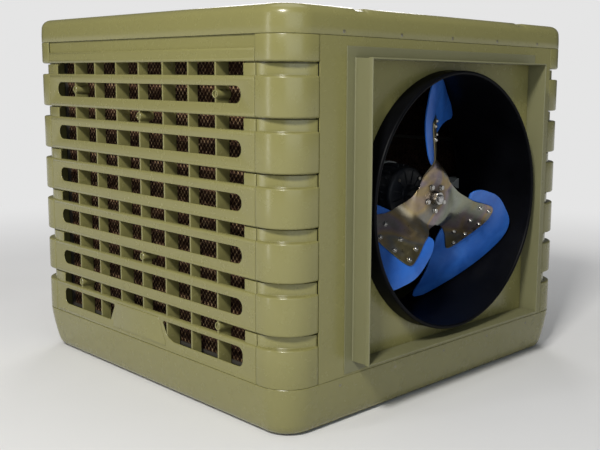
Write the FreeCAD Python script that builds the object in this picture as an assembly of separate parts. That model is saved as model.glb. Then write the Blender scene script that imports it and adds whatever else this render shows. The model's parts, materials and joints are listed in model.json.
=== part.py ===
import FreeCAD, Part
import math
import os

# Evaporative cooler with a side discharge. Millimetres, +Z up.
# Origin: centre of the casing's square footprint, on the plane it rests on.
# The air leaves through the square collar on the -Y side and enters on the other three.

V = FreeCAD.Vector
X_AXIS = V(1, 0, 0)
Y_AXIS = V(0, 1, 0)
Z_AXIS = V(0, 0, 1)
ORIGIN = V(0, 0, 0)

# Casing
HALF = 550.0            # half of the square footprint, at the raised bands
HEIGHT = 950.0
TRAY_TOP = 118.0        # rim of the water basin
SEAM_TOP = 887.0        # lower edge of the top cover
SEAM = 0.5              # gap above and below the wall pieces
WALL = 3.5              # moulded plastic wall
CORNER_R = 80.0         # corner radius of the cover, the basin and the raised bands
STRIP_CORNER_R = 112.0  # the recessed strips turn the corner in a wider arc
JOINT = 452.0           # where a corner column ends and a wall piece begins
JOINT_GAP = 1.0
PAD_INNER = 452.0       # inner plane of the cooling pads
PAD_OUTER = 508.0       # outer plane of the cooling pads

# Horizontal bands that run round the columns and the grilles
BANDS = 6
PITCH = 118.5
RECESS_H = 30.0         # height of the recessed strip above each raised band
RECESS = 3.0            # depth of that strip on the flats
GROOVE = 9.0            # depth of the undercut below the next band
GROOVE_H = 3.0
TOP_STEP_Z = 858.0      # above this the grilles are set back under the cover
TOP_STEP = 4.5
RAISED_H = PITCH - RECESS_H

# Grille openings
RIB_PITCH = 104.0
RIBS = 7
RIB_T = 5.0
ROW_HALF = 410.0        # half length of an opening row
SLOT_HALF = 405.0
SLOT_H = 38.0
SLOT_MID = 47.5         # slot centre above the foot of its band
LOW_SLOT = (28.0, 74.0)  # foot and top of the split slot in the lowest band
DEEP_RIB = 39.0
SHALLOW_RIB = 29.0

# Discharge
AXIS_Z = 495.0          # height of the fan axis
COLLAR_HALF = 345.0
COLLAR_DEPTH = 55.0
COLLAR_T = 2.5
FLANGE_HALF = 371.0
HOLE_R = 324.0
TUNNEL_R = 313.0
LIP_Y = -595.0
TUNNEL_END_Y = -352.0
BELL_Y = -312.0
BELL_R = 356.0

# Fan
HUB_Y = -504.0          # back face of the spider's flat hub
ARM_ANGLES = (92.0, -28.0, -148.0)
TIP_R = 308.0
ROOT_R = 110.0
BLADE_T = 4.5
ARM_T = 3.0
ARM_GAP = 0.4
SHAFT_R = 14.0
STUD_R = 10.0


def save(name, shape):
    """Write one node, whether it is one solid or a group of them."""
    if not shape.isValid():
        print("NOT VALID", name)
    shape.exportStep("parts/%s.step" % name)
    print("%-26s %3d solids %12.0f mm3" % (name, len(shape.Solids), shape.Volume))


def group(shapes):
    return Part.makeCompound(shapes)


def box(x0, x1, y0, y1, z0, z1):
    return Part.makeBox(x1 - x0, y1 - y0, z1 - z0, V(x0, y0, z0))


def rod(radius, start, end):
    """A cylinder from one point to another."""
    run = end.sub(start)
    return Part.makeCylinder(radius, run.Length, start, run)


def prism(points, along):
    """Extrude the polygon through the points."""
    wire = Part.makePolygon(points + [points[0]])
    return Part.Face(wire).extrude(along)


def turned(shape, degrees):
    """A copy turned about the casing's vertical axis."""
    copy = shape.copy()
    copy.rotate(ORIGIN, Z_AXIS, degrees)
    return copy


def rounded_square(half, radius, z):
    """A closed wire with four straight sides and four arcs."""
    edges = []
    for turn in range(4):
        angle = math.radians(90 * turn)
        cos_a = math.cos(angle)
        sin_a = math.sin(angle)

        def spin(x, y):
            return V(x * cos_a - y * sin_a, x * sin_a + y * cos_a, z)

        flat = half - radius
        mid = flat + radius * math.sqrt(0.5)
        edges.append(Part.LineSegment(spin(half, -flat), spin(half, flat)).toShape())
        edges.append(Part.Arc(spin(half, flat), spin(mid, mid), spin(flat, half)).toShape())
    return Part.Wire(edges)


def stacked(sections, radius):
    """A solid through rounded squares, each given as (height, half width)."""
    wires = [rounded_square(half, radius - (HALF - half) * 0.5, z) for z, half in sections]
    return Part.makeLoft(wires, True, True)


def square_block(half, radius, z0, z1):
    face = Part.Face(rounded_square(half, radius, z0))
    return face.extrude(V(0, 0, z1 - z0))


def hexagon(width, start, along, height):
    """A hexagonal prism, width across its flats."""
    radius = width / math.sqrt(3)
    side = along.cross(Z_AXIS)
    if side.Length < 0.1:
        side = V(X_AXIS)
    side.normalize()
    up = along.cross(side)
    up.normalize()
    points = []
    for k in range(6):
        a = math.radians(60 * k)
        points.append(start + side * (radius * math.cos(a)) + up * (radius * math.sin(a)))
    step = V(along)
    step.normalize()
    return prism(points, step * height)


# ---------------------------------------------------------------- banded walls

def band_outer(inset, top_step):
    """Outer line of the banded wall as (depth, height), from the foot to the top."""
    line = [(inset, TRAY_TOP + SEAM)]
    for band in range(BANDS):
        foot = TRAY_TOP + band * PITCH
        shoulder = foot + RAISED_H
        top = foot + PITCH
        line.append((inset, shoulder - RECESS))
        line.append((inset + RECESS, shoulder))
        line.append((inset + RECESS, top - GROOVE_H))
        line.append((inset + GROOVE, top - GROOVE_H))
        line.append((inset + GROOVE, top))
        line.append((inset, top))
    line.append((inset, TOP_STEP_Z))
    line.append((inset + top_step, TOP_STEP_Z + 1.0))
    line.append((inset + top_step, SEAM_TOP - SEAM))
    return line


def band_inner(top_step):
    """Inner line of the same wall, one wall thickness behind, from the top to the foot."""
    line = [(WALL + top_step, SEAM_TOP - SEAM), (WALL + top_step, TOP_STEP_Z - WALL)]
    for band in reversed(range(BANDS)):
        foot = TRAY_TOP + band * PITCH
        shoulder = foot + RAISED_H
        top = foot + PITCH
        line.append((WALL, top + WALL))
        line.append((GROOVE + WALL, top + WALL))
        line.append((GROOVE + WALL, top - GROOVE_H - WALL))
        line.append((RECESS + WALL, top - GROOVE_H - WALL))
        line.append((RECESS + WALL, shoulder - RECESS - WALL))
        line.append((WALL, shoulder - RECESS - WALL))
    line.append((WALL, TRAY_TOP + SEAM))
    return line


def outside(half, radius, z0, z1):
    """All that lies outside a rounded square, between two heights."""
    wide = HALF + 20
    return box(-wide, wide, -wide, wide, z0, z1).cut(square_block(half, radius, z0 - 1, z1 + 1))


def corner_column():
    """The column at the -X, -Y corner: a banded shell with two webs that guide the pads."""
    z0 = TRAY_TOP + SEAM
    z1 = SEAM_TOP - SEAM
    corner = box(-HALF - 1, -JOINT, -HALF - 1, -JOINT, z0, z1)
    body = square_block(HALF, CORNER_R, z0, z1)
    hollow = [square_block(HALF - WALL, CORNER_R - WALL, z0 - 1, z1 + 1)]
    strips = []
    keep = []
    for band in range(BANDS):
        foot = TRAY_TOP + band * PITCH
        shoulder = foot + RAISED_H
        top = foot + PITCH
        slope = Part.makeLoft([rounded_square(HALF, CORNER_R, shoulder - RECESS),
                               rounded_square(HALF - RECESS, STRIP_CORNER_R, shoulder)], True, True)
        wide = HALF + 20
        strips.append(box(-wide, wide, -wide, wide, shoulder - RECESS, shoulder).cut(slope))
        strips.append(outside(HALF - RECESS, STRIP_CORNER_R, shoulder, top - GROOVE_H))
        strips.append(outside(HALF - GROOVE, STRIP_CORNER_R - 6, top - GROOVE_H, top))
        keep.append(outside(HALF - RECESS - WALL, STRIP_CORNER_R - WALL,
                            shoulder - RECESS - WALL, top - GROOVE_H))
        keep.append(outside(HALF - GROOVE - WALL, STRIP_CORNER_R - 6 - WALL,
                            top - GROOVE_H - WALL, top + WALL))
    shell = body.common(corner).cut(strips)
    hollow = hollow[0].common(corner).cut(keep)
    reach = HALF - GROOVE - 1.0
    web_a = box(-reach, -PAD_INNER, -JOINT - WALL, -JOINT, z0, z1)
    web_b = box(-JOINT - WALL, -JOINT, -reach, -PAD_INNER, z0, z1)
    return shell.cut(hollow).fuse([web_a, web_b]).removeSplitter()


# ---------------------------------------------------------------- intake grilles

def row_cut(z0, z1):
    return box(-HALF - 5, -HALF + GROOVE + 2 * WALL, -ROW_HALF, ROW_HALF, z0, z1)


def slot_cut(mid_z):
    """A long slot with round ends, cut through a raised band."""
    radius = SLOT_H / 2
    flat = SLOT_HALF - radius
    x0 = -HALF - 5
    deep = 5 + WALL + 4
    body = box(x0, x0 + deep, -flat, flat, mid_z - radius, mid_z + radius)
    ends = [Part.makeCylinder(radius, deep, V(x0, s * flat, mid_z), X_AXIS) for s in (-1, 1)]
    return body.fuse(ends)


def low_slot_cuts():
    """The lowest band's two slots, which leave a blank name pad between them."""
    z0 = TRAY_TOP + LOW_SLOT[0]
    z1 = TRAY_TOP + LOW_SLOT[1]
    x0 = -HALF - 5
    along = V(5 + WALL + 4, 0, 0)
    left = [(SLOT_HALF, z1 - 14), (SLOT_HALF, z0 + 14), (SLOT_HALF - 14, z0), (159, z0),
            (135, z1), (SLOT_HALF - 14, z1)]
    right = [(-SLOT_HALF, z1 - 14), (-SLOT_HALF, z0 + 14), (14 - SLOT_HALF, z0), (-132, z0),
             (-115, z0 + 6), (-98, z0 + 22), (-86, z1), (14 - SLOT_HALF, z1)]
    return [prism([V(x0, y, z) for y, z in points], along) for points in (left, right)]


def name_pad():
    """A blank raised plate between the two low slots."""
    z0 = TRAY_TOP + 12
    z1 = TRAY_TOP + 80
    points = [V(-HALF - 2.0, 146, z0), V(-HALF - 2.0, -104, z0),
              V(-HALF - 2.0, -72, z1), V(-HALF - 2.0, 122, z1)]
    return prism(points, V(4.0, 0, 0))


def rib_places():
    """Each rib's place along the face and its depth; deep and shallow ones alternate."""
    places = []
    for k in range(RIBS):
        y = (k - RIBS // 2) * RIB_PITCH
        depth = DEEP_RIB if k % 2 == 0 else SHALLOW_RIB
        places.append((y, depth))
    return places


def boss_places():
    """Six screw bosses, as (y, z)."""
    side = (RIBS // 2) * RIB_PITCH
    high = TRAY_TOP + 5 * PITCH + SLOT_MID
    row_2 = TRAY_TOP + 4 * PITCH + RAISED_H + 17
    row_5 = TRAY_TOP + PITCH + RAISED_H + 17
    row_6 = TRAY_TOP + RAISED_H + 17
    return [(side, high), (-side, high), (0, row_2), (0, row_5), (side, row_6), (-side, row_6)]


def louver_grille():
    """The moulded intake grille of the -X side."""
    half = JOINT - JOINT_GAP
    line = band_outer(0.0, TOP_STEP) + band_inner(TOP_STEP)
    points = [V(-HALF + depth, -half, z) for depth, z in line]
    skin = prism(points, V(0, 2 * half, 0))
    cuts = []
    for band in range(BANDS):
        foot = TRAY_TOP + band * PITCH
        cuts.append(row_cut(foot + RAISED_H, foot + PITCH - GROOVE_H))
        if band > 0:
            cuts.append(slot_cut(foot + SLOT_MID))
    cuts.extend(low_slot_cuts())
    skin = skin.cut(cuts)
    ribs = []
    for y, depth in rib_places():
        back = [(depth, SEAM_TOP - SEAM), (depth, TRAY_TOP + SEAM)]
        edge = [V(-HALF + d, y - RIB_T / 2, z) for d, z in band_outer(2.0, TOP_STEP) + back]
        ribs.append(prism(edge, V(0, RIB_T, 0)))
    bosses = []
    holes = []
    for y, z in boss_places():
        start = V(-HALF + 1, y, z)
        bosses.append(Part.makeCone(8, 14, DEEP_RIB - 1, start, X_AXIS))
        holes.append(rod(2.2, V(-HALF - 5, y, z), V(-HALF + DEEP_RIB + 1, y, z)))
        holes.append(rod(6.0, V(-HALF - 5, y, z), V(-HALF + 9, y, z)))
    grille = skin.fuse(ribs + bosses + [name_pad()])
    return grille.cut(holes).removeSplitter()


def louver_screws():
    screws = []
    for y, z in boss_places():
        head = rod(5.5, V(-HALF + 6.5, y, z), V(-HALF + 9, y, z))
        shank = rod(2.1, V(-HALF + 9, y, z), V(-HALF + DEEP_RIB, y, z))
        screws.append(head.fuse(shank))
    return group(screws)


PAD_HALF = 436.0
PAD_Z = (134.0, 852.0)
FRAME_T = 8.0


def cooling_pad():
    return box(-PAD_OUTER, -PAD_INNER, -PAD_HALF, PAD_HALF, PAD_Z[0], PAD_Z[1])


def pad_frame():
    """A thin frame round the pad, with cross bars behind it."""
    x0 = -PAD_OUTER
    x1 = -PAD_INNER
    outer = box(x0, x1 + 5, -PAD_HALF - FRAME_T, PAD_HALF + FRAME_T,
                PAD_Z[0] - FRAME_T, PAD_Z[1] + FRAME_T)
    inner = box(x0 - 1, x1, -PAD_HALF, PAD_HALF, PAD_Z[0], PAD_Z[1])
    windows = []
    columns = 3
    rows = 3
    lip = 12.0
    bar = 10.0
    width = (2 * PAD_HALF - 2 * lip - (columns - 1) * bar) / columns
    height = (PAD_Z[1] - PAD_Z[0] - 2 * lip - (rows - 1) * bar) / rows
    for i in range(columns):
        for j in range(rows):
            y0 = -PAD_HALF + lip + i * (width + bar)
            z0 = PAD_Z[0] + lip + j * (height + bar)
            windows.append(box(x1 - 1, x1 + 7, y0, y0 + width, z0, z0 + height))
    return outer.cut([inner] + windows)


# ---------------------------------------------------------------- basin and cover

FLOOR_Z = 28.0
RECESS_UNDER = 22.0     # hollow below the floor, split by a cross of ribs
UNDER_RIB = 8.0
UNDER_SKIRT = 492.0
TRAY_PROFILE = ((0.0, 510.0), (6.0, 523.0), (16.0, 531.0), (30.0, 537.0), (60.0, 543.0),
                (92.0, 548.0), (TRAY_TOP, HALF))
SCREW_PITCH = 190.0
SCREW_X = [k * SCREW_PITCH for k in (-2, -1, 0, 1, 2)]
COVER_SCREW_Z = 896.0
TRAY_SCREW_Z = 101.0
INLET = V(-300, 0, 86)
DRAIN = V(-300, 250, 0)


def bottom_tray():
    outer = stacked(TRAY_PROFILE, CORNER_R)
    inside = [(FLOOR_Z, TRAY_PROFILE[3][1] - WALL - 4)]
    inside.append((TRAY_PROFILE[4][0], TRAY_PROFILE[4][1] - WALL))
    inside.append((TRAY_PROFILE[5][0], TRAY_PROFILE[5][1] - WALL))
    inside.append((TRAY_TOP + 1, HALF - WALL))
    tray = outer.cut(stacked(inside, CORNER_R - WALL))
    under = []
    for sx in (-1, 1):
        for sy in (-1, 1):
            x0, x1 = sorted((sx * UNDER_RIB, sx * UNDER_SKIRT))
            y0, y1 = sorted((sy * UNDER_RIB, sy * UNDER_SKIRT))
            under.append(box(x0, x1, y0, y1, -1, RECESS_UNDER))
    holes = [rod(2.2, V(x, -HALF - 5, TRAY_SCREW_Z), V(x, -530, TRAY_SCREW_Z)) for x in SCREW_X]
    seats = [rod(6.0, V(x, -HALF - 5, TRAY_SCREW_Z), V(x, -HALF + 2.8, TRAY_SCREW_Z))
             for x in SCREW_X]
    inlet = rod(10.6, V(INLET.x, 530, INLET.z), V(INLET.x, HALF + 5, INLET.z))
    drain = rod(16.7, V(DRAIN.x, DRAIN.y, -1), V(DRAIN.x, DRAIN.y, FLOOR_Z + 1))
    return tray.cut(under + holes + seats + [inlet, drain])


GROOVE_X = 315.0
GROOVE_W = 34.0


def top_cover():
    outer_line = [(SEAM_TOP, HALF), (930.0, HALF - 1), (940.0, HALF - 4), (947.0, HALF - 11),
                  (HEIGHT, HALF - 22)]
    inner_line = [(SEAM_TOP - 1, HALF - WALL), (928.0, HALF - WALL - 1), (HEIGHT - 6, HALF - 24)]
    cover = stacked(outer_line, CORNER_R).cut(stacked(inner_line, CORNER_R - WALL))
    cuts = []
    for x in (-GROOVE_X, GROOVE_X):
        cuts.append(box(x - GROOVE_W / 2, x + GROOVE_W / 2, -HALF - 5, HALF + 5,
                        HEIGHT - 2.5, HEIGHT + 5))
    cuts.extend(rod(2.2, V(x, -HALF - 5, COVER_SCREW_Z), V(x, -540, COVER_SCREW_Z))
                for x in SCREW_X)
    cuts.extend(rod(6.0, V(x, -HALF - 5, COVER_SCREW_Z), V(x, -HALF + 1.8, COVER_SCREW_Z))
                for x in SCREW_X)
    ribs = []
    for x in (-200.0, 200.0):
        ribs.append(box(x - 2, x + 2, -HALF + 40, HALF - 40, 925, HEIGHT - 4))
    return cover.fuse(ribs).cut(cuts)


def edge_screws(z, seat):
    """Five pan screws in a row along the discharge side."""
    screws = []
    for x in SCREW_X:
        head = rod(5.2, V(x, -HALF + seat - 1.6, z), V(x, -HALF + seat, z))
        slot = box(x - 4, x + 4, -HALF + seat - 1.7, -HALF + seat - 0.9, z - 0.6, z + 0.6)
        shank = rod(2.0, V(x, -HALF + seat, z), V(x, -HALF + 18, z))
        screws.append(head.cut(slot).fuse(shank))
    return group(screws)


# ---------------------------------------------------------------- discharge side

def discharge_panel():
    half = JOINT - JOINT_GAP
    z0 = TRAY_TOP + SEAM
    z1 = SEAM_TOP - SEAM
    sheet = box(-half, half, -HALF, -HALF + WALL, z0, z1)
    tabs = [
        box(-half + 12, half - 12, -HALF + WALL, -HALF + 2 * WALL + 2, z1 - 16, z1),
        box(-half + 12, half - 12, -HALF + WALL + 2, -HALF + 2 * WALL + 2, z1 - 16, z1 + 28),
        box(-half + 12, half - 12, -HALF + WALL, -HALF + 2 * WALL + 5, z0, z0 + 16),
        box(-half + 12, half - 12, -HALF + WALL + 6, -HALF + 2 * WALL + 8, z0 - 30, z0 + 16),
    ]
    panel = sheet.fuse(tabs)
    hole = rod(HOLE_R, V(0, -HALF - 5, AXIS_Z), V(0, -HALF + 5, AXIS_Z))
    screws = []
    for x in SCREW_X:
        for z in (COVER_SCREW_Z, TRAY_SCREW_Z):
            screws.append(rod(2.2, V(x, -HALF, z), V(x, -HALF + 20, z)))
    return panel.cut([hole] + screws).removeSplitter()


def outlet_collar():
    """A folded sheet collar, with a flange on the panel and a hemmed front edge."""
    y0 = -HALF - COLLAR_DEPTH
    inner = COLLAR_HALF - COLLAR_T

    def frame(outer_half, inner_half, back, front):
        outer = box(-outer_half, outer_half, front, back,
                    AXIS_Z - outer_half, AXIS_Z + outer_half)
        core = box(-inner_half, inner_half, front - 1, back + 1,
                   AXIS_Z - inner_half, AXIS_Z + inner_half)
        return outer.cut(core)

    walls = frame(COLLAR_HALF, inner, -HALF, y0)
    flange = frame(FLANGE_HALF, inner, -HALF, -HALF - 1.5)
    hem = frame(COLLAR_HALF + 1.5, inner, y0 + 12, y0)
    return walls.fuse([flange, hem]).removeSplitter()


def revolved(line):
    """Turn a closed (radius, y) line about the fan axis."""
    points = [V(r, y, AXIS_Z) for r, y in line]
    face = Part.Face(Part.makePolygon(points + [points[0]]))
    return face.revolve(V(0, 0, AXIS_Z), Y_AXIS, 360)


def fan_shroud():
    """A venturi ring: rolled lip in front, straight tunnel, flared bell behind."""
    skirt_r = HOLE_R - 1.0
    lip = 7.0
    line = [(TUNNEL_R + 0.0, LIP_Y + lip), (TUNNEL_R + 2.0, LIP_Y + 2), (TUNNEL_R + lip, LIP_Y),
            (skirt_r - 2.0, LIP_Y + 2), (skirt_r, LIP_Y + lip)]
    line += [(skirt_r, -HALF + WALL + 1), (BELL_R, -HALF + WALL + 1), (BELL_R, -HALF + WALL + 4),
             (skirt_r - 4, -HALF + WALL + 4), (skirt_r - 4, LIP_Y + lip + 3),
             (TUNNEL_R + 4, LIP_Y + lip + 3)]
    bell = []
    steps = 6
    for k in range(steps + 1):
        a = math.radians(90 * k / steps)
        bell.append((TUNNEL_R + (BELL_R - TUNNEL_R) * (1 - math.cos(a)),
                     TUNNEL_END_Y + (BELL_Y - TUNNEL_END_Y) * math.sin(a)))
    back = [(r + 3.5, y - 1.5) for r, y in bell]
    line += [(TUNNEL_R + 4, TUNNEL_END_Y - 5)] + back[1:] + list(reversed(bell))
    return revolved(line)


# ---------------------------------------------------------------- fan

def slope(table, k):
    """The slope of a table of (x, value) at its entry k."""
    x0, v0 = table[max(k - 1, 0)]
    x1, v1 = table[min(k + 1, len(table) - 1)]
    return (v1 - v0) / (x1 - x0)


def curve(table, x):
    """A smooth reading of a short table of (x, value)."""
    if x <= table[0][0]:
        return table[0][1]
    for k in range(len(table) - 1):
        x0, v0 = table[k]
        x1, v1 = table[k + 1]
        if x <= x1:
            width = x1 - x0
            t = (x - x0) / width
            rise = t * t * (3 - 2 * t)
            first = t * (1 - t) * (1 - t) * width * slope(table, k)
            last = t * t * (t - 1) * width * slope(table, k + 1)
            return v0 + (v1 - v0) * rise + first + last
    return table[-1][1]


# How far back the fan surface lies, against the distance ahead of the arm's middle line:
# steep and hollow beside the arm, straighter and flatter at the tip.
ARM_LIFT = ((-110, -50), (-90, -48.5), (-70, -45), (-54, -39.5), (-36, -30), (-18, -16.8), (0, 0),
            (18, 17.3), (36, 33), (54, 46.5), (69, 56.5), (102, 73), (135, 87), (170, 102),
            (210, 119), (240, 131))
TIP_LIFT = ((-110, -50), (-63, -43), (-25, -31), (10, -11), (42, 9), (72, 29), (100, 48),
            (128, 66), (160, 86), (191, 102), (215, 113), (240, 124))


def eased(x, start, end):
    """From 0 at the start to 1 at the end, smoothly."""
    t = min(max((x - start) / (end - start), 0.0), 1.0)
    return t * t * (3 - 2 * t)


def lift(radius, across):
    """The depth of the fan surface behind the hub face: none at the hub, full at the arms."""
    outer = eased(radius, 195, TIP_R)
    depth = curve(ARM_LIFT, across) * (1 - outer) + curve(TIP_LIFT, across) * outer
    return depth * eased(radius, 70, 114)


def pitched_point(radius, phi, arm, offset):
    """A point on an arm's or a blade's pitched surface, phi degrees ahead of the arm."""
    a = math.radians(arm)
    across = radius * math.sin(math.radians(phi))
    along = radius * math.cos(math.radians(phi))
    lean = (lift(radius, across + 2) - lift(radius, across - 2)) / 4
    ahead = V(math.sin(a), 0, -math.cos(a))
    point = V(along * math.cos(a), HUB_Y + lift(radius, across), AXIS_Z + along * math.sin(a))
    back = V(0, 1, 0) - ahead * lean
    return point + ahead * across + back * (offset / math.hypot(1, lean))


def surface_through(grid):
    """A smooth face through a grid of points."""
    surface = Part.BSplineSurface()
    surface.interpolate(grid)
    return surface


def pitched_plate(rows, arm):
    """A solid plate on a pitched surface.

    Each row is (radius, first angle, last angle, front offset, back offset).
    """
    count = 9
    near = []
    far = []
    for radius, phi0, phi1, front, back in rows:
        phis = [phi0 + (phi1 - phi0) * k / (count - 1) for k in range(count)]
        near.append([pitched_point(radius, p, arm, front) for p in phis])
        far.append([pitched_point(radius, p, arm, back) for p in phis])
    front_face = surface_through(near)
    back_face = surface_through(far)
    u0, u1, v0, v1 = front_face.bounds()
    faces = [front_face.toShape(), back_face.toShape()]
    for u in (u0, u1):
        faces.append(Part.makeRuledSurface(front_face.uIso(u).toShape(), back_face.uIso(u).toShape()))
    for v in (v0, v1):
        faces.append(Part.makeRuledSurface(front_face.vIso(v).toShape(), back_face.vIso(v).toShape()))
    shell = Part.Shell(faces)
    shell.sewShape()
    solid = Part.Solid(shell)
    if solid.Volume < 0:
        solid.reverse()
    return solid


BLADE_TRAIL = ((70, -28), (112, -33.5), (140, -32.5), (172, -30), (205, -26.5), (231, -22.8),
               (260, -17.5), (282, -14), (300, -11), (315, -9))
BLADE_LEAD = ((70, 2), (112, 15), (142, 26), (169, 31), (196, 35), (231, 40), (260, 45),
              (282, 48.5), (300, 49.5), (315, 50))
ARM_TRAIL = ((78, -46), (88, -33), (100, -26), (115, -21.5), (135, -20), (170, -18.5),
             (200, -17), (212, -15))
ARM_LEAD = ((78, 46), (88, 33), (100, 25.5), (115, 21), (135, 19.5), (170, 20), (200, 22),
            (212, 20.5))
ARM_REACH = 212.0
HUB_FLAT = 74.0


def fan_blade(arm):
    rows = []
    for k in range(16):
        r = TIP_R - 15 * k
        rows.insert(0, (r, curve(BLADE_TRAIL, r), curve(BLADE_LEAD, r), 0.0, BLADE_T))
    blade = pitched_plate(rows, arm)
    core = rod(ROOT_R, V(0, HUB_Y - 90, AXIS_Z), V(0, HUB_Y + 90, AXIS_Z))
    return blade.cut([core] + [bolt_shank(arm, r, phi, 3.3) for r, phi in BLADE_BOLTS])


def spider_arm(arm):
    rows = []
    for k in range(16):
        r = ARM_REACH - 10 * k
        rows.insert(0, (r, curve(ARM_TRAIL, r), curve(ARM_LEAD, r), 0.2 - ARM_GAP - ARM_T,
                        -0.2 - ARM_GAP))
    return pitched_plate(rows, arm)


BLADE_BOLTS = ((159, -14.5), (194, -13.5), (164, -2), (199, -3), (163, 12), (199, 7), (202, 16))


def bolt_line(arm, radius, phi, start, end):
    """Two points on the blade bolt's axis, which is square to the blade."""
    return pitched_point(radius, phi, arm, start), pitched_point(radius, phi, arm, end)


def bolt_shank(arm, radius, phi, size):
    start, end = bolt_line(arm, radius, phi, -12, 20)
    return rod(size, start, end)


def blade_bolts():
    bolts = []
    for arm in ARM_ANGLES:
        for radius, phi in BLADE_BOLTS:
            top, face = bolt_line(arm, radius, phi, -ARM_GAP - ARM_T - 5.4, -ARM_GAP - ARM_T - 0.4)
            head = hexagon(11.0, top, face.sub(top), 5.0)
            rear, tip = bolt_line(arm, radius, phi, BLADE_T + 0.8, BLADE_T + 17)
            nut = hexagon(10.0, rear, tip.sub(rear), 6.0)
            shank = rod(3.0, face, tip)
            bolts.append(head.fuse([shank, nut]))
    return group(bolts)


HUB_BOLT_R = 33.0
HUB_BOLT_ANGLES = [49 + 72 * k for k in range(5)]


def on_axis(radius, degrees, y):
    a = math.radians(degrees)
    return V(radius * math.cos(a), y, AXIS_Z + radius * math.sin(a))


def fan_spider():
    disc = rod(HUB_FLAT, V(0, HUB_Y - ARM_GAP - ARM_T, AXIS_Z), V(0, HUB_Y - ARM_GAP, AXIS_Z))
    spider = disc.fuse([spider_arm(arm) for arm in ARM_ANGLES])
    cuts = [rod(STUD_R + 0.1, V(0, HUB_Y - 20, AXIS_Z), V(0, HUB_Y + 20, AXIS_Z))]
    for angle in HUB_BOLT_ANGLES:
        cuts.append(rod(4.3, on_axis(HUB_BOLT_R, angle, HUB_Y - 20),
                        on_axis(HUB_BOLT_R, angle, HUB_Y + 20)))
    for arm in ARM_ANGLES:
        cuts.extend(bolt_shank(arm, r, phi, 3.3) for r, phi in BLADE_BOLTS)
    return spider.cut(cuts)


def hub_bushing():
    """The steel boss that carries the spider on the motor shaft."""
    y0 = HUB_Y
    flange = rod(46, V(0, y0, AXIS_Z), V(0, y0 + 8, AXIS_Z))
    boss = rod(24, V(0, y0 + 8, AXIS_Z), V(0, y0 + 60, AXIS_Z))
    cuts = [rod(SHAFT_R + 0.05, V(0, y0 + 3, AXIS_Z), V(0, y0 + 61, AXIS_Z)),
            rod(STUD_R + 0.1, V(0, y0 - 1, AXIS_Z), V(0, y0 + 4, AXIS_Z)),
            box(-4.05, 4.05, y0 + 14, y0 + 61, AXIS_Z, AXIS_Z + SHAFT_R + 3.6)]
    for angle in HUB_BOLT_ANGLES:
        cuts.append(rod(4.3, on_axis(HUB_BOLT_R, angle, y0 - 1), on_axis(HUB_BOLT_R, angle, y0 + 9)))
    return flange.fuse(boss).cut(cuts)


def hub_bolts():
    bolts = []
    front = HUB_Y - ARM_GAP - ARM_T
    for angle in HUB_BOLT_ANGLES:
        head = hexagon(13, on_axis(HUB_BOLT_R, angle, front - 5.8), Y_AXIS, 5.5)
        shank = rod(4.0, on_axis(HUB_BOLT_R, angle, front - 0.3),
                    on_axis(HUB_BOLT_R, angle, HUB_Y + 18))
        nut = hexagon(13, on_axis(HUB_BOLT_R + 1, angle, HUB_Y + 8.3), Y_AXIS, 6.5)
        bolts.append(head.fuse([shank, nut]))
    return group(bolts)


def hub_washer():
    front = HUB_Y - ARM_GAP - ARM_T
    ring = rod(19, V(0, front - 3.3, AXIS_Z), V(0, front - 0.3, AXIS_Z))
    return ring.cut(rod(STUD_R + 0.1, V(0, front - 5, AXIS_Z), V(0, front + 5, AXIS_Z)))


def hub_nut():
    front = HUB_Y - ARM_GAP - ARM_T - 3.3
    nut = hexagon(30, V(0, front - 12.2, AXIS_Z), Y_AXIS, 12.0)
    return nut.cut(rod(STUD_R + 0.1, V(0, front - 20, AXIS_Z), V(0, front + 5, AXIS_Z)))


MOTOR_FRONT_Y = -420.0
MOTOR_R = 70.0


def motor_shaft():
    stud = rod(STUD_R, V(0, HUB_Y - 25, AXIS_Z), V(0, HUB_Y + 3.5, AXIS_Z))
    body = rod(SHAFT_R, V(0, HUB_Y + 3.5, AXIS_Z), V(0, -190, AXIS_Z))
    keyway = box(-4, 4, HUB_Y + 16, HUB_Y + 56, AXIS_Z + SHAFT_R - 4, AXIS_Z + SHAFT_R + 1)
    return stud.fuse(body).cut(keyway)


def shaft_key():
    return box(-3.98, 3.98, HUB_Y + 16, HUB_Y + 56, AXIS_Z + SHAFT_R - 4, AXIS_Z + SHAFT_R + 3)


# ---------------------------------------------------------------- motor

def motor_housing():
    y0 = MOTOR_FRONT_Y + 16
    y1 = -215.0
    shell = rod(MOTOR_R, V(0, y0, AXIS_Z), V(0, y1, AXIS_Z))
    fins = []
    count = 24
    for k in range(count):
        fin = box(MOTOR_R - 2, MOTOR_R + 9, y0 + 14, y1 - 8, AXIS_Z - 1.5, AXIS_Z + 1.5)
        fin.rotate(V(0, 0, AXIS_Z), Y_AXIS, 360.0 * (k + 0.5) / count)
        fins.append(fin)
    bore = rod(SHAFT_R + 0.5, V(0, y0 - 1, AXIS_Z), V(0, y1 + 1, AXIS_Z))
    return shell.fuse(fins).cut(bore)


def motor_end_shield():
    y0 = MOTOR_FRONT_Y
    disc = rod(MOTOR_R + 4, V(0, y0, AXIS_Z), V(0, y0 + 15.7, AXIS_Z))
    disc = disc.makeFillet(6, [disc.Edges[k] for k in range(len(disc.Edges))
                               if abs(disc.Edges[k].CenterOfMass.y - y0) < 0.1])
    boss = rod(32, V(0, y0 - 8, AXIS_Z), V(0, y0 + 1, AXIS_Z))
    bore = rod(SHAFT_R + 0.08, V(0, y0 - 20, AXIS_Z), V(0, y0 + 20, AXIS_Z))
    return disc.fuse(boss).cut(bore)


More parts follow.
